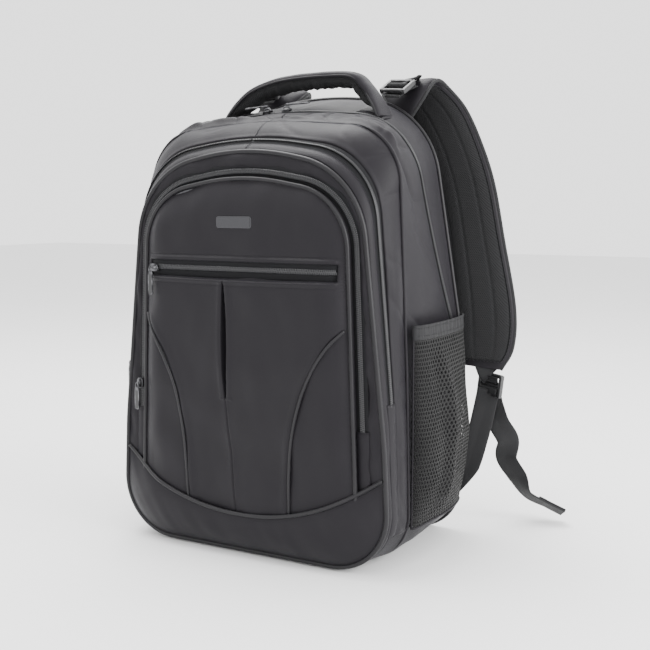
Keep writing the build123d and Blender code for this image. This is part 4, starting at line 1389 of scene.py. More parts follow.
def add_badge():
    """Small blank badge: a plate with a raised face."""
    lowest, highest = node_box("badge")
    half_x, half_z = (highest[0] - lowest[0]) / 2, (highest[2] - lowest[2]) / 2
    centre_x, centre_z = (lowest[0] + highest[0]) / 2, (lowest[2] + highest[2]) / 2
    axes = make_frame((centre_x, highest[1] - 1.2, centre_z), (1, 0, 0), (0, -1, 0))

    def outline(inset):
        x, z = half_x - inset, half_z - inset
        return rounded_outline(((-x, -z), (x, -z), (x, z), (-x, z)), 3 - inset)

    pieces = [plate("badge_plate", outline(0), 0, 1.7, BADGE, axes, 0.5),
              plate("badge_face", outline(1.4), 1.6, 2.1, BADGE, axes, 0.2)]
    keep(joined("badge_plate", pieces), "organiser_flap", "badge")


def add_zipper_covers():
    """Fabric tabs over the lower ends of the two front zippers."""
    for name, side in SIDES.items():
        top, bottom = high("organiser_slider", 2) - 29, 84
        centre = arch_line(ZIP_1_OUT - 1, ZIP_1_Y - 1.2, bottom, 60)
        centre = centre[centre[:, 2] < top]
        grid = np.stack([centre + (offset, lift, 0) for offset, lift in
                         ((-8.5, 2.4), (-7.5, 0.2), (-3, -0.9), (3, -0.9), (7.5, 0.2), (8.5, 2.4))])
        grid[..., 1] += noise_at(grid, 12, side * 3.0) * 0.4
        keep(add_sheet("front_zipper_cover_" + name, grid, BODY, side, 1.0), "pack",
             *once(side, "zipper_covers"))
        ys = rows_between(np.full(50, Y_MIDDLE_ZIP - 7.5), np.full(50, Y_MIDDLE_ZIP + 7.5), 9)
        cover = skin(ys, at_height(BASE_TOP_Z), at_height(MIDDLE_ZIP_END_Z + 2), 0.7)
        arc = np.sin(np.linspace(0, 1, 9) * math.pi)[:, None]
        cover = raised(cover, arc * 1.2 + noise_at(cover, 20, 7.0) * 0.3)
        keep(add_sheet("side_zipper_cover_" + name, cover, BODY, side, 1.0), "pack")


# ---------------------------------------------------------------- mesh side pockets

CELL = 4.8               # pitch of the net's holes
HOLE = 0.62              # size of a hole, as a share of its cell
NET_WIDTH = 158.0        # path round the pocket's bulge


def pocket_bulge(z):
    """How far the side pocket stands out at a height."""
    return np.interp(z, (POCKET_BOTTOM_Z, 58, 82, 125, 175, POCKET_HEM_Z, POCKET_TOP_Z),
                     (9.5, 15.5, 20.5, 24.0, 19.5, 12.5, 11.0))


def pocket_place(share, z):
    """Points on the right side pocket. share runs from its front edge to its back edge."""
    half = (POCKET_BACK_Y - POCKET_FRONT_Y) / 2
    bulge = pocket_bulge(z)
    round_off = np.sin(share * math.pi) ** 0.72
    ridge = 0.42 + 0.06 * np.sin((z - 50) / 46)
    folds = 2.6 * np.exp(-((share - ridge) / 0.05) ** 2)
    folds = folds - 2.2 * np.exp(-((share - ridge + 0.11) / 0.06) ** 2)
    folds = folds + 2.0 * np.exp(-((share - 0.76 - 0.03 * np.sin(z / 30)) / 0.045) ** 2)
    folds = folds * smoothstep(z, POCKET_BOTTOM_Z, 75) * smoothstep(POCKET_HEM_Z + 4 - z, 0, 45)
    sine, cosine = np.sin(share * math.pi), np.cos(share * math.pi)
    x = POCKET_X - 1.0 + bulge * round_off + folds * sine
    y = POCKET_FRONT_Y + half - half * cosine * (0.93 + 0.07 * np.abs(cosine))
    slack = 1.4 * np.sin(z / 17.0 + share * 9) * sine * smoothstep(POCKET_HEM_Z - z, 0, 60)
    return np.stack([x + slack, y, z + 0 * x], axis=-1)


def add_net(name, side):
    """The net of a side pocket: rows of six-sided cells, each with its own hole."""
    width, height = NET_WIDTH, POCKET_HEM_Z - POCKET_BOTTOM_Z + 3
    row_pitch = CELL * math.sqrt(3) / 2
    angles = math.radians(30) + np.arange(6) * math.pi / 3
    ring = np.stack([np.cos(angles), np.sin(angles)], axis=1) * CELL / math.sqrt(3)
    places, index_of, faces = [], {}, []

    def place(point):
        key = (round(point[0] * 50), round(point[1] * 50))
        if key not in index_of:
            index_of[key] = len(places)
            places.append(point)
        return index_of[key]

    for row in range(int(height / row_pitch)):
        for column in range(int(width / CELL)):
            centre = np.array((CELL * (column + 0.5 + 0.5 * (row % 2)), row_pitch * (row + 0.5)))
            outer = [place(p) for p in centre + ring]
            hole_size = HOLE * (1 + 0.10 * noise.noise(Vector((*centre / 30, 1.0))))
            inner = [place(p) for p in centre + ring * hole_size * (0.92, 1.08)]
            faces += [[outer[k], outer[(k + 1) % 6], inner[(k + 1) % 6], inner[k]] for k in range(6)]
    places = np.array(places)
    share = np.clip(places[:, 0] / (width + CELL / 2), 0, 1)
    points = pocket_place(share, POCKET_BOTTOM_Z - 1 + np.clip(places[:, 1], 0, height))
    points = points * np.array((side, 1, 1))
    faces = [face if side < 0 else face[::-1] for face in faces]
    return solidify(add_mesh(name, points, faces, NET, places), 0.75, 0.0)


def add_hem(name, side):
    """Gathered elastic hem of a side pocket."""
    share = np.linspace(0, 1, 150)[None, :]
    z = np.linspace(POCKET_HEM_Z - 1, POCKET_TOP_Z, 10)[:, None]
    points = pocket_place(share + 0 * z, z + 0 * share)
    gathers = noise_at(points * (1, 1, 0.12), 3.4, 51.0) * 0.42
    points = raised(points.transpose(1, 0, 2), gathers.T + 0.9).transpose(1, 0, 2)
    points[..., 0] += 0.9 * np.exp(-((z - POCKET_TOP_Z + 1) / 1.5) ** 2)
    return add_sheet("pocket_elastic_" + name, points.transpose(1, 0, 2), ELASTIC, side, 1.8)


def add_hem_stitches(name, side):
    """Two rows of stitches along the hem."""
    rows = []
    for height in (POCKET_HEM_Z + 3, POCKET_TOP_Z - 3.2):
        line = pocket_place(np.linspace(0, 1, 150), np.full(150, height)) + (1.5, 0, 0)
        rows.append(add_stitches("hem_stitches", line * (side, 1, 1), (side, 0, 0), PIPING))
    return joined("pocket_stitches_" + name, rows)


def add_pocket_binding(name, side):
    """Binding of a side pocket's front, back and foot."""
    heights = np.linspace(POCKET_BOTTOM_Z - 1, POCKET_TOP_Z - 1, 90)
    edges = [pocket_place(np.full(90, place), heights) + (0.8, 0, 0) for place in (0.004, 0.996)]
    foot = pocket_place(np.linspace(0.0, 1.0, 110), np.full(110, POCKET_BOTTOM_Z - 0.5))
    edges.append(foot + (0.4, 0, 0))
    tubes = [add_tube("edge", line * (side, 1, 1), 1.2, BODY) for line in edges]
    return joined("pocket_binding_" + name, tubes)


def add_side_pocket(name, side):
    """A side pocket: net, elastic hem, stitches and binding."""
    net = add_net("pocket_net_" + name, side)
    hem = add_hem(name, side)
    stitches = add_hem_stitches(name, side)
    binding = add_pocket_binding(name, side)
    keep(net, "pack", "mesh_pocket_" + name)
    keep(hem, "pack", "pocket_hem_" + name)
    keep(stitches, "pack")
    keep(binding, "pack")


# ---------------------------------------------------------------- padding

SWELL_FRAMES = 20


def swell(piece, sewn, pressure, limit):
    """Puffs a closed piece out as fabric over foam. sewn marks the points that stay where they are."""
    count = len(piece.data.vertices)
    before = np.empty(count * 3)
    piece.data.vertices.foreach_get("co", before)
    group = piece.vertex_groups.new(name="sewn")
    group.add([int(index) for index in np.flatnonzero(sewn)], 1.0, "REPLACE")
    cloth = piece.modifiers.new("swell", "CLOTH")
    cloth.settings.quality = 5
    cloth.settings.mass = 0.3
    cloth.settings.tension_stiffness = 12
    cloth.settings.compression_stiffness = 12
    cloth.settings.bending_stiffness = 0.4
    cloth.settings.vertex_group_mass = "sewn"
    cloth.settings.use_pressure = True
    cloth.settings.uniform_pressure_force = pressure
    cloth.settings.effector_weights.gravity = 0
    cloth.collision_settings.use_collision = False
    cloth.point_cache.frame_start = 1
    cloth.point_cache.frame_end = SWELL_FRAMES
    for frame_number in range(1, SWELL_FRAMES + 1):
        bpy.context.scene.frame_set(frame_number)
    graph = bpy.context.evaluated_depsgraph_get()
    after = np.empty(count * 3)
    piece.evaluated_get(graph).data.vertices.foreach_get("co", after)
    moved = (after - before).reshape(-1, 3)
    length = np.linalg.norm(moved, axis=1, keepdims=True) / MM + 1e-9
    moved = moved * np.minimum(1, limit / length)
    piece.modifiers.clear()
    piece.vertex_groups.clear()
    piece.data.vertices.foreach_set("co", before + moved.ravel())
    piece.data.update()
    bpy.context.scene.frame_set(1)
    return piece


def add_pad(name, face, back, material, side=1):
    """Adds a closed pad between two grids of points that share their outline."""
    rows, columns = face.shape[:2]
    points = np.concatenate([face, back[:, ::-1]], axis=1) * np.array((side, 1, 1))
    faces = grid_faces(rows, 2 * columns, wrap_columns=True, flip=side < 0).tolist()
    for row in (0, rows - 1):
        for column in range(columns - 1):
            corners = [row * 2 * columns + at for at in (column, column + 1, 2 * columns - 2 - column,
                                                         2 * columns - 1 - column)]
            faces.append(corners if (row > 0) == (side > 0) else corners[::-1])
    flat = np.concatenate([grid_distance(face), grid_distance(back)[:, ::-1]], axis=1)
    return add_mesh(name, points, faces, material, flat)


# ---------------------------------------------------------------- shoulder straps

STRAP_INNER = (
    (79, 112, 458), (64, 117, 478), (52, 127, 492), (52, 139, 496), (60, 152, 488), (76, 158, 464),
    (98, 154, 427), (117, 147, 380), (130, 139, 325), (141, 131, 255), (147, 128, 205), (157, 128, 183),
)
STRAP_OUTER = (
    (93, 112, 459), (107, 117, 482), (113, 127, 498), (116, 139, 503), (121, 153, 496), (140, 160, 472),
    (160, 157, 434), (178, 152, 388), (192, 149, 325), (208, 145, 250), (208, 142, 205), (196, 138, 179),
)
STRAP_HALF_THICK = 5.2
STRAP_EDGE = 1.6          # half thickness of the bound edge
MESH_INSET = 4.5          # from the strap's edge to its mesh panel
MESH_END_Z = 187.0        # foot of the mesh panel
MESH_COLUMNS = 41


def strap_surface(rows, columns, height):
    """Points on a strap's face. height is a number or a grid, measured towards the wearer."""
    edges = smooth_line(np.hstack([STRAP_INNER, STRAP_OUTER]), rows)
    share = np.linspace(0, 1, columns)[None, :, None]
    points = edges[:, None, :3] * (1 - share) + edges[:, None, 3:] * share
    return raised(points, np.broadcast_to(height, points.shape[:2]))


def strap_height(rows, columns):
    """Half thickness of a strap over its face: full in the middle, thin at the edges and both ends."""
    across = np.abs(np.linspace(-1, 1, columns))[None, :]
    along = np.linspace(0, 1, rows)[:, None]
    ends = smoothstep(along, 0, 0.06) * smoothstep(1 - along, 0, 0.03)
    puff = (1 - across ** 5) ** 0.75
    return STRAP_EDGE + (STRAP_HALF_THICK - STRAP_EDGE) * puff * (0.35 + 0.65 * ends)


def strap_panel(face):
    """Grid of the mesh panel on a strap's face, set in from its edges and quilted."""
    rows, columns = face.shape[:2]
    width = np.linalg.norm(face[:, -1] - face[:, 0], axis=1)
    inset = np.clip(MESH_INSET / width, 0.05, 0.35)[:, None]
    share = inset + (1 - 2 * inset) * np.linspace(0, 1, MESH_COLUMNS)[None, :]
    column = share * (columns - 1)
    lower = np.clip(np.floor(column).astype(int), 0, columns - 2)
    part = (column - lower)[..., None]
    index = np.arange(rows)[:, None]
    panel = face[index, lower] * (1 - part) + face[index, lower + 1] * part
    panel = panel[(panel[:, MESH_COLUMNS // 2, 2] > MESH_END_Z) & (np.arange(rows) > 6)]
    across = np.abs(np.linspace(-1, 1, MESH_COLUMNS))[None, :]
    channels = 0.9 * np.exp(-((across - 0.42) / 0.05) ** 2)
    puff = 0.9 + 1.5 * (1 - across ** 4) - channels
    return raised(panel, puff * np.minimum(1, edge_share(panel.shape[:2], columns=False) * 1.2 + 0.35))


def grid_border(grid):
    """The two sides and the far end of a grid, as one line."""
    return np.vstack([grid[:, 0], grid[-1, 1:-1], grid[::-1, -1]])


def add_strap_cover(name, side, face, back):
    """The strap's fabric cover, puffed out over its foam."""
    rows, columns = face.shape[:2]
    cover = add_pad("strap_cover_" + name, face, back, BODY, side)
    sewn = np.zeros((rows, 2 * columns), bool)
    for seam in (0, columns):
        sewn[:, [seam, seam + 1, seam + columns - 2, seam + columns - 1]] = True
    sewn[[0, 1, rows - 2, rows - 1]] = True
    swell(cover, sewn.ravel(), 3.0, 1.2)
    return cover


def add_strap(name, side):
    """Padded shoulder strap: fabric cover, mesh panel towards the wearer, and bound edges."""
    rows, columns = 130, 27
    mirror = np.array((side, 1, 1))
    height = strap_height(rows, columns)
    face = strap_surface(rows, columns, height)
    back = strap_surface(rows, columns, -height)
    creases = noise_at(back, 26, 61.0 + side) * 0.9 * edge_share((rows, columns))
    back = raised(back, -creases)
    cover = add_strap_cover(name, side, face, back)
    panel = strap_panel(face)
    mesh = add_sheet("strap_mesh_" + name, panel, AIR_MESH, side, 1.2)
    border, outward = grid_border(panel) * mirror, grid_border(grid_normals(panel)) * mirror
    tape = add_tube("strap_seam_" + name, border, 0.9, TAPE)
    stitches = add_stitches("strap_stitches_" + name, border + outward * 0.9, outward, PIPING)
    edges = [add_tube("edge", (face[:, at] + back[:, at]) / 2 * mirror, 2.6, WEBBING, flat=0.8)
             for at in (0, -1)]
    binding = joined("strap_binding_" + name, edges)
    for piece, nodes in ((cover, ["shoulder_strap_" + name]), (mesh, []), (tape, []), (stitches, []),
                         (binding, [])):
        keep_bent(piece, "pack", "strap_" + name, (side * 86, 111, 466), (side * 86, 122, 466), *nodes)


# ---------------------------------------------------------------- webbing and ladder locks

ANCHOR_WEBBING = ((185, 131, 157), (181, 128, 132), (176, 125, 106), (168, 117, 70), (154, 108, 38))
ANCHOR_ACROSS = ((0.94, 0.34, 0), (0.94, 0.34, 0), (0.95, 0.3, 0), (0.95, 0.2, 0.1), (0.95, 0.1, 0.1))
ANCHOR_WIDTHS = (25, 25, 25, 25, 9)
TAIL_WEBBING = ((186.5, 137, 158), (189, 139, 142), (193, 143, 118), (203, 150, 96), (200, 154, 74),
                (212, 160, 52), (222, 164, 32), (243, 170, 21), (262, 175, 12))
TAIL_ACROSS = ((0.94, -0.34, 0), (0.94, -0.34, 0), (0.95, 0.2, 0), (0.9, 0.45, 0.1), (0.95, 0.0, 0.2),
               (0.85, -0.2, 0.4), (0.4, -0.7, 0.5), (0.2, -0.8, 0.5), (0.1, -0.8, 0.55))
STRAP_TAB = ((176, 133, 196), (180, 133.5, 186), (184, 134, 176), (187, 134.3, 173))
LIFTER_WEBBING = ((82, 87, 482), (83, 93, 485), (86, 104, 491), (92, 118, 497))
LIFTER_END = ((84, 103, 497), (89, 111, 502), (95, 118, 505), (101, 122, 505.5))
LIFTER_BEND = ((84, 90, 484), (90, 118, 496))
ANCHOR_TAB = ((112, 42), (150, 12), (158, 34))
WEBBING_THICK = 1.7
LOCK_CENTRE = (186.0, 134.0, 162.0)
LOCK_ALONG = (0.1, 0.05, 1)
LOCK_THROUGH = (0.34, 0.94, -0.08)
LIFTER_CENTRE = (84.0, 98.0, 494.0)
LIFTER_ALONG = (0.15, 0.85, 0.5)
LIFTER_THROUGH = (0, -0.5, 0.85)
LOCK_HALF_WIDTH = 16.5
LOCK_HALF_LENGTH = 13.0


def add_webbing(name, path, across, widths, material=WEBBING, thick=WEBBING_THICK, side=1):
    """Adds smooth webbing through some places. Returns it, its line and its directions across."""
    count = 70
    line = smooth_line(path, count) * (side, 1, 1)
    share = np.linspace(0, 1, count)
    stations = distances(path)
    stations = stations / stations[-1]
    across = read_off(share, stations, np.asarray(across, float) * (side, 1, 1))
    widths = np.interp(share, stations, np.broadcast_to(widths, (len(path),)))
    piece = add_band(name, line, across, widths, thick, material)
    return piece, line, across


def add_ladder_lock(name, node, body, centre, along, through, side):
    """Ladder lock: two cheeks and three bars, the last bar ribbed to grip the webbing."""
    mirror = np.array((side, 1, 1))
    axes = make_frame(np.array(centre) * mirror, np.array(along) * mirror, np.array(through) * mirror)
    pieces = []
    for edge in (-1, 1):
        inner = edge * (LOCK_HALF_WIDTH - 3.8)
        outer = edge * LOCK_HALF_WIDTH
        cheek = rounded_outline(((-LOCK_HALF_LENGTH, inner), (LOCK_HALF_LENGTH, inner),
                                 (LOCK_HALF_LENGTH, outer), (-LOCK_HALF_LENGTH, outer))[::edge], 1.7)
        pieces.append(plate(name + "_cheek", cheek, -2.8, 2.8, PLASTIC, axes, 0.8))
    for x, half_thick, lift in ((-11.0, 2.2, 0.3), (-0.2, 2.1, 0.0), (11.0, 2.4, 0.7)):
        span = np.linspace(-LOCK_HALF_WIDTH + 2.5, LOCK_HALF_WIDTH - 2.5, 14)
        crown = lift + 0.5 * np.cos(span / LOCK_HALF_WIDTH * math.pi / 2)
        bar = local_points(axes, np.stack([np.full(14, x), span, crown], axis=1))
        pieces.append(add_tube(name + "_bar", bar, half_thick, PLASTIC, sides=14, hint=axes[3]))
    for x in (8.9, 9.9):
        rib = np.stack([np.full(12, x), np.linspace(-11, 11, 12), np.full(12, 2.9)], axis=1)
        pieces.append(add_tube(name + "_rib", local_points(axes, rib), 0.45, PLASTIC, sides=6))
    keep(joined(name, pieces), body, node)
    loop = ((-9.5, 0, -3.4), (-3.2, 0, -2.4), (-1.6, 0, 2.2), (0.2, 0, 3.7), (2.2, 0, 2.0),
            (3.6, 0, -1.4), (7.0, 0, -3.0), (10, 0, -3.4))
    count = 40
    line = local_points(axes, smooth_line(loop, count))
    band = add_band(name + "_webbing", line, np.tile(axes[2], (count, 1)), 24.0, WEBBING_THICK, WEBBING)
    keep(band, body)


def add_tail(name, side):
    """Loose end of the lower webbing, with its tip folded back and stitched down."""
    body = "strap_" + name
    tail, line, across = add_webbing("tail_webbing_" + name, TAIL_WEBBING, TAIL_ACROSS, 25, side=side)
    keep_bent(tail, body, "lower_lock_" + name, (side * 189, 139, 138), (side * 187, 137, 150))
    through = unit(np.cross(np.gradient(line, axis=0), across))
    through = through * np.sign(through[-1, 2])
    fold = (line + through * 1.9)[-13:]
    keep(add_band("tail_fold_" + name, fold, across[-13:], 24.6, WEBBING_THICK, WEBBING), body)
    rows = []
    for at in (-11, -9, -3):
        width = unit(across[at]) * 10.5
        ends = np.linspace(line[at] - width, line[at] + width, 20) + through[at] * 2.8
        rows.append(add_stitches("tail_stitches", ends, through[at], PIPING, 2.2, 1.2, 0.35))
    keep(joined("tail_stitches_" + name, rows), body)


def add_lifter(name, side):
    """Webbing at the strap's crest: its run from the bag, and its loose end."""
    bend = np.array(LIFTER_BEND) * (side, 1, 1)
    run, _, _ = add_webbing("lifter_run_" + name, LIFTER_WEBBING, ((1, 0.1, 0),) * 4, 20, side=side)
    keep_bent(run, "pack", "strap_" + name, *bend, "lifter_webbing_" + name)
    end, _, _ = add_webbing("lifter_end_" + name, LIFTER_END, ((1, -0.3, 0.1),) * 4, 20, side=side)
    keep_bent(end, "pack", "strap_" + name, *bend)


def add_anchor_tab(name, side):
    """Padded triangle at the foot of the back that anchors the lower webbing."""
    mirror = np.array((side, 1, 1))
    outline = rounded_outline(ANCHOR_TAB, 4)
    centre = outline.mean(0)
    profile = ((1.0, -1.0), (0.96, 1.6), (0.86, 2.6), (0.6, 2.9), (0.3, 3.0), (0.02, 3.0))
    grid = np.stack([np.insert(centre + (outline - centre) * share, 1, Y_BACK_FACE + lift, axis=1)
                     for share, lift in profile])
    faces = grid_faces(len(profile), len(outline), wrap_columns=True, flip=side > 0)
    tab = add_mesh("anchor_tab_" + name, grid * mirror, faces, BODY, grid_distance(grid))
    keep(tab, "pack", "anchor_tab_" + name)
    inner = (grid[2] + (0, 0.1, 0)) * mirror
    stitches = add_stitches("anchor_stitches_" + name, np.vstack([inner, inner[:1]]), (0, 1, 0), PIPING)
    keep(stitches, "pack")


def add_strap_webbing(name, side):
    """Webbing at the foot and at the top of a strap, with its ladder locks."""
    body = "strap_" + name
    add_ladder_lock("lower_lock_" + name, "lower_buckle_" + name, "lower_lock_" + name, LOCK_CENTRE,
                    LOCK_ALONG, LOCK_THROUGH, side)
    add_ladder_lock("lifter_lock_" + name, "lifter_buckle_" + name, "lifter_lock_" + name, LIFTER_CENTRE,
                    LIFTER_ALONG, LIFTER_THROUGH, side)
    anchor, _, _ = add_webbing("anchor_webbing_" + name, ANCHOR_WEBBING, ANCHOR_ACROSS, ANCHOR_WIDTHS,
                               side=side)
    keep_bent(anchor, "pack", body, (side * 154, 108, 38), (side * 160, 112, 66),
              "lower_webbing_" + name)
    add_tail(name, side)
    tab, _, _ = add_webbing("strap_end_tab_" + name, STRAP_TAB, ((0.94, 0.34, 0),) * 4, 25, thick=2.6,
                            side=side)
    keep(tab, body)
    add_lifter(name, side)
    add_anchor_tab(name, side)


# ---------------------------------------------------------------- carrying handle

HANDLE_Y = 36.0
HANDLE_LINE = ((-92, 456), (-87, 464), (-76, 477), (-58, 489), (-30, 497), (0, 500), (34, 500.5),
               (63, 498.5), (76, 488), (87, 474), (93, 465), (98, 455))
HANDLE_BEND = ((0, HANDLE_Y, 465), (0, HANDLE_Y, 480))
HANDLE_WIDTH = 27.0
HANDLE_ABOVE = 3.6       # from the handle's middle line to its top, and to its foam below
HANDLE_BELOW = 11.5
HANDLE_COLUMNS = 21


def handle_grid(rows, upper):
    """Grid over the upper or the lower half of the handle's grip, front edge to back edge."""
    line = smooth_line([(x, HANDLE_Y, z) for x, z in HANDLE_LINE], rows)
    along = unit(np.gradient(line, axis=0))
    upward = unit(np.cross((0, 1, 0), along)) * -1
    upward = upward * np.sign(upward[rows // 2, 2])
    share = np.linspace(0, 1, rows)
    padded = smoothstep(share, 0.02, 0.14) * smoothstep(share[::-1], 0.02, 0.14)
    across = np.linspace(-1, 1, HANDLE_COLUMNS)
    half_width = HANDLE_WIDTH / 2 * (1.32 - 0.32 * padded)
    deepest = HANDLE_ABOVE if upper else HANDLE_BELOW
    half_thick = 2.0 + (deepest - 2.0) * padded
    profile = (1 - np.abs(across) ** 2.6) ** 0.5
    height = half_thick[:, None] * profile[None, :] * (1 if upper else -1)
    height = np.where(np.abs(across)[None, :] > 0.999, 0.0, height)
    points = line[:, None] + (half_width[:, None] * across[None, :])[..., None] * np.array((0, 1, 0))
    return points + upward[:, None] * height[..., None]


def add_handle():
    """Carrying handle: padded mesh grip with piped edges, sewn down at both feet."""
    rows = 140
    upper, lower = handle_grid(rows, True), handle_grid(rows, False)
    share = edge_share(lower.shape[:2])
    gathers = noise_at(lower * (1.0, 0.35, 0.35), 4.5, 71.0) * 1.3 + noise_at(lower, 10, 75.0) * 0.8
    lower = raised(lower, gathers * share)
    grip = add_pad("handle_grip", upper[:, ::-1], lower[:, ::-1], AIR_MESH)
    sewn = np.zeros((rows, 2 * HANDLE_COLUMNS), bool)
    sewn[:, [0, HANDLE_COLUMNS - 1, HANDLE_COLUMNS, -1]] = True
    sewn[[0, 1, 2, -3, -2, -1]] = True
    swell(grip, sewn.ravel(), 4.0, 1.0)
    edges = [add_tube("edge", (upper[:, at] + lower[:, at]) / 2, 1.5, PIPING) for at in (0, -1)]
    piping = joined("handle_piping", edges)
    cover = raised(upper, 0.9 + noise_at(upper, 24, 77.0) * 0.5 * edge_share(upper.shape[:2]))
    cover[:, [0, -1], 2] -= 2.2
    top = add_sheet("handle_cover", cover[:, ::-1], BODY, 1, 1.2)
    normals = grid_normals(cover)
    rows_of_stitches = [add_stitches("stitches", cover[:, at], normals[:, at], PIPING) for at in (2, -3)]
    stitches = joined("handle_stitches", rows_of_stitches)
    for piece, nodes in ((top, []), (stitches, []), (grip, ["grab_handle"]), (piping, [])):
        keep_bent(piece, "pack", "carry_handle", *HANDLE_BEND, *nodes)


def inset_border(grid):
    """Line round a grid, a little inside its edges."""
    return np.vstack([grid[2:-2, 2], grid[-3, 3:-3], grid[-3:2:-1, -3], grid[2, -3:2:-1]])


def add_handle_patches():
    """Stitched patches that hold the handle's feet down."""
    for name, side in SIDES.items():
        ys = rows_between(np.full(24, HANDLE_Y - 15.5), np.full(24, HANDLE_Y + 15.5), 24)
        patch = skin(ys, at_crown(103), at_crown(72), 1.6)
        patch = raised(patch, 1.2 * np.minimum(1, edge_share((24, 24)) * 2))
        keep(add_sheet("handle_patch_" + name, patch, BODY, side, 1.2), "pack",
             *once(side, "handle_patches"))
        mirror = np.array((side, 1, 1))
        inset, outward = inset_border(patch) * mirror, inset_border(grid_normals(patch)) * mirror
        keep(add_stitches("patch_stitches_" + name, inset, outward, PIPING), "pack")


# ---------------------------------------------------------------- back

PAD_INNER = 22.0         # from the middle plane to the inner and the outer edge of a tall pad
PAD_OUTER = 104.0
TALL_PAD_Z = (142.0, 410.0)
LUMBAR_HALF = 108.0
LUMBAR_Z = (44.0, 128.0)
PAD_RADIUS = 20.0
CHANNEL_PITCH = 54       # between the pressed lines across a pad


def filled(line, y, rows, columns):
    """Flat grid inside an upright outline, from its foot to its crown. The line is its right half."""
    order = np.argsort(line[:, -1], kind="stable")
    heights, widths = line[order, -1], line[order, 0]
    z = heights[0] + (heights[-1] - heights[0]) * np.sin(np.linspace(0, math.pi / 2, rows))
    z = np.linspace(heights[0], heights[-1], rows) * 0.5 + z * 0.5
    half = np.interp(z, heights, widths)
    across = np.linspace(-1, 1, columns)
    grid = np.zeros((rows, columns, 3))
    grid[..., 0] = half[:, None] * across
    grid[..., 1] = y
    grid[..., 2] = z[:, None]
    return grid


def pad_grid(x_low, x_high, z_low, z_high, y, rows, columns):
    """Flat grid over a rectangle with round corners."""
    half_x, half_z = (x_high - x_low) / 2, (z_high - z_low) / 2
    v = np.sin(np.linspace(-math.pi / 2, math.pi / 2, rows)) * 0.4 + np.linspace(-1, 1, rows) * 0.6
    beyond = np.clip(np.abs(v) * half_z - (half_z - PAD_RADIUS), 0, PAD_RADIUS)
    half = half_x - PAD_RADIUS + np.sqrt(PAD_RADIUS ** 2 - beyond ** 2)
    grid = np.zeros((rows, columns, 3))
    grid[..., 0] = (x_low + x_high) / 2 + half[:, None] * np.linspace(-1, 1, columns)
    grid[..., 1] = y
    grid[..., 2] = (z_low + z_high) / 2 + (v * half_z)[:, None]
    return grid


def add_back_panel():
    """Back panel of fabric behind the pads."""
    line = between(half_outline(Y_BACK, -0.5), at_foot, crown_end, 300)
    panel = filled(line, Y_BACK_FACE, 110, 90)
    depth = edge_share(panel.shape[:2]) * (0.6 + noise_at(panel, 45, 81.0) * 0.8)
    panel[..., 1] -= 0.3 - depth * 0.5
    keep(add_sheet("back_panel", panel[:, ::-1], BODY), "pack", "back_panel")


def add_back_pads():
    """Two tall mesh pads and one low mesh pad, each with a corded seam."""
    places = [("back_pad_right", PAD_INNER, PAD_OUTER, *TALL_PAD_Z, 110, 36),
              ("back_pad_left", -PAD_OUTER, -PAD_INNER, *TALL_PAD_Z, 110, 36),
              ("lumbar_pad", -LUMBAR_HALF, LUMBAR_HALF, *LUMBAR_Z, 40, 90)]
    for name, x_low, x_high, z_low, z_high, rows, columns in places:
        flat = pad_grid(x_low, x_high, z_low, z_high, Y_BACK_FACE - 0.8, rows, columns)
        share = np.minimum(1, edge_share((rows, columns)) * 1.15)
        across = np.abs(np.linspace(-1, 1, columns))[None, :]
        along = np.abs(np.linspace(-1, 1, rows))[:, None]
        puff = np.sqrt(np.maximum(0, 1 - across ** 6)) * np.sqrt(np.maximum(0, 1 - along ** 8))
        channel = np.zeros((rows, columns))
        for height in np.arange(z_low + CHANNEL_PITCH, z_high - 30, CHANNEL_PITCH):
            channel = np.maximum(channel, np.exp(-((flat[..., 2] - height) / 3.4) ** 2))
        face = flat.copy()
        face[..., 1] += (Y_PAD - Y_BACK_FACE + 0.4) * puff * (1 - 0.45 * channel * share)
        pad = add_pad(name, face[:, ::-1], flat[:, ::-1], AIR_MESH)
        sewn = np.zeros((rows, 2 * columns), bool)
        sewn[:, columns:] = True
        sewn[:, [0, columns - 1]] = True
        sewn[[0, -1]] = True
        sewn[:, :columns] |= channel[:, ::-1] > 0.9
        swell(pad, sewn.ravel(), 3.0, 1.8)
        keep(pad, "pack", *(["back_pads"] if name == "lumbar_pad" else []))
        rim = np.vstack([flat[:, 0], flat[-1, 1:-1], flat[::-1, -1], flat[0, -2:0:-1]]) + (0, 1.6, 0)
        keep(add_tube(name + "_seam", closed_line(rim, 240), 1.1, PIPING, closed=True), "pack")


# ---------------------------------------------------------------- inside

def add_wall(node, line):
    """Thin inner wall inside an upright outline, with a soft wave."""
    y = middle(node)[1]
    grid = filled(line, y, 90, 80)
    grid[..., 1] += noise_at(grid, 60, 91.0 + y) * 1.6 * edge_share(grid.shape[:2])
    keep(add_sheet(node, grid, LINING), "pack", node)


def add_pocket_inside(node, seams, rise):
    """Open-topped inner pocket: a front sheet held down at its seams, and a bound mouth."""
    lowest, highest = node_box(node)
    columns, rows = 120, 60
    x = np.linspace(lowest[0], highest[0], columns)[None, :]
    z = np.linspace(lowest[2], highest[2], rows)[:, None]
    grid = np.zeros((rows, columns, 3))
    grid[..., 0] = x
    grid[..., 2] = z
    gap = np.ones((1, columns))
    for seam in seams:
        gap = np.minimum(gap, smoothstep(np.abs(x - seam), 0.0, 12.0))
    deep = (highest[1] - lowest[1]) - 2.0
    grid[..., 1] = highest[1] - 1.0 - deep * gap * smoothstep(z, lowest[2] - 2, lowest[2] + rise)
    grid[..., 1] += noise_at(grid, 30, 95.0) * 0.7 * gap
    keep(add_sheet(node, grid, LINING), "pack", node)
    mouth = add_tube(node + "_binding", grid[-1] + (0, 0, 0.4), 1.9, PIPING, flat=0.8)
    keep(mouth, "pack")


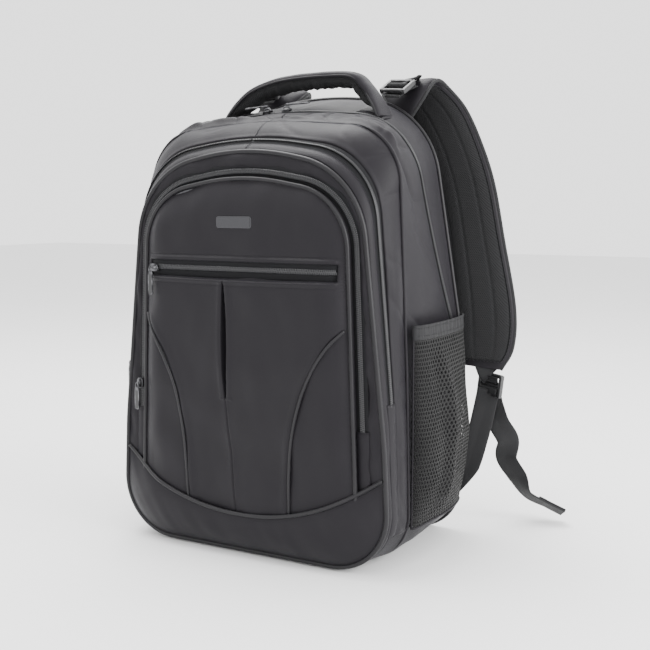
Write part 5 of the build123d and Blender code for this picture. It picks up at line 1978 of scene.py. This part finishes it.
def add_inside():
    """Inner walls, the pen pocket and the laptop sleeve with its strap."""
    add_wall("organiser_wall", half_arch(-3.0))
    outline = half_outline(middle("divider_wall")[1], -4.0)
    add_wall("divider_wall", between(outline, at_foot, crown_end, 300) + (0, 4))
    add_pocket_inside("pen_pocket", (-103, -40, -18, 4, 26, 103), 8)
    add_pocket_inside("laptop_sleeve", (-127, 127), 25)
    lowest, highest = node_box("sleeve_strap")
    path = ((0, highest[1] - 1, highest[2] - 1), (0, highest[1] - 4, highest[2] - 22),
            (0, lowest[1] + 2.5, lowest[2] + 40), (0, lowest[1] + 1.2, lowest[2] + 2))
    strap, _, _ = add_webbing("sleeve_strap", path, ((1, 0, 0),) * 4, 37, BODY, 1.8)
    keep(strap, "pack", "sleeve_strap")


def dress_frame_sheet():
    """The stiffening sheet inside the back keeps its own shape."""
    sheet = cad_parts["frame_sheet"]
    sheet.data.materials.clear()
    sheet.data.materials.append(STIFFENER)


# ---------------------------------------------------------------- stage

CAMERA_PLACE = (0.561, -0.942, 0.367)
CAMERA_HEADING = 28.67   # degrees to the left of straight ahead
CAMERA_DIP = 6.96        # degrees below the horizon
CAMERA_LENS = 55.8


def add_light(name, place, target, size, power):
    """A soft rectangular white studio light that faces a target."""
    light = bpy.data.lights.new(name, "AREA")
    light.shape = "RECTANGLE"
    light.size, light.size_y = size
    light.energy = power
    holder = bpy.data.objects.new(name, light)
    holder.location = place
    direction = Vector(target) - Vector(place)
    holder.rotation_euler = direction.to_track_quat("-Z", "Y").to_euler()
    bpy.context.scene.collection.objects.link(holder)


def add_stage():
    """Pale floor, pale surroundings, soft lights and the camera."""
    bpy.ops.mesh.primitive_plane_add(size=12, location=(0, 0, -0.0005))
    floor = bpy.context.object
    floor.name = "floor"
    floor.data.materials.append(floor_material())
    world = bpy.data.worlds.new("studio")
    world.use_nodes = True
    world.node_tree.nodes["Background"].inputs["Color"].default_value = (1, 1, 1, 1)
    world.node_tree.nodes["Background"].inputs["Strength"].default_value = 2.2
    bpy.context.scene.world = world
    centre = (0, 0, 0.25)
    add_light("key_top", (-0.5, 0.2, 1.9), centre, (1.6, 1.2), 62)
    add_light("right_side", (1.9, -0.1, 0.9), centre, (1.2, 1.2), 62)
    add_light("front_fill", (-0.8, -2.2, 1.0), centre, (1.6, 1.2), 2)
    camera = bpy.data.cameras.new("camera")
    camera.lens = CAMERA_LENS
    camera.sensor_width = 36.0
    camera.clip_end = 50.0
    holder = bpy.data.objects.new("camera", camera)
    holder.location = CAMERA_PLACE
    holder.rotation_euler = (math.radians(90 - CAMERA_DIP), 0, math.radians(CAMERA_HEADING))
    bpy.context.scene.collection.objects.link(holder)
    bpy.context.scene.camera = holder


add_front()
add_flap_lining()
add_pocket_zipper()
add_bottom_band()
add_border()
add_organiser_zipper()
add_organiser_gusset()
add_outer_piping()
add_rim()
add_middle_zipper()
add_middle_gusset()
add_seam()
add_main_wall()
add_main_zipper()
add_back_gusset()
add_base()
add_sliders()
add_badge()
add_zipper_covers()
for name, side in SIDES.items():
    add_side_pocket(name, side)
for name, side in SIDES.items():
    add_strap(name, side)
    add_strap_webbing(name, side)
add_handle()
add_handle_patches()
add_back_panel()
add_back_pads()
add_inside()
dress_frame_sheet()
add_stage()
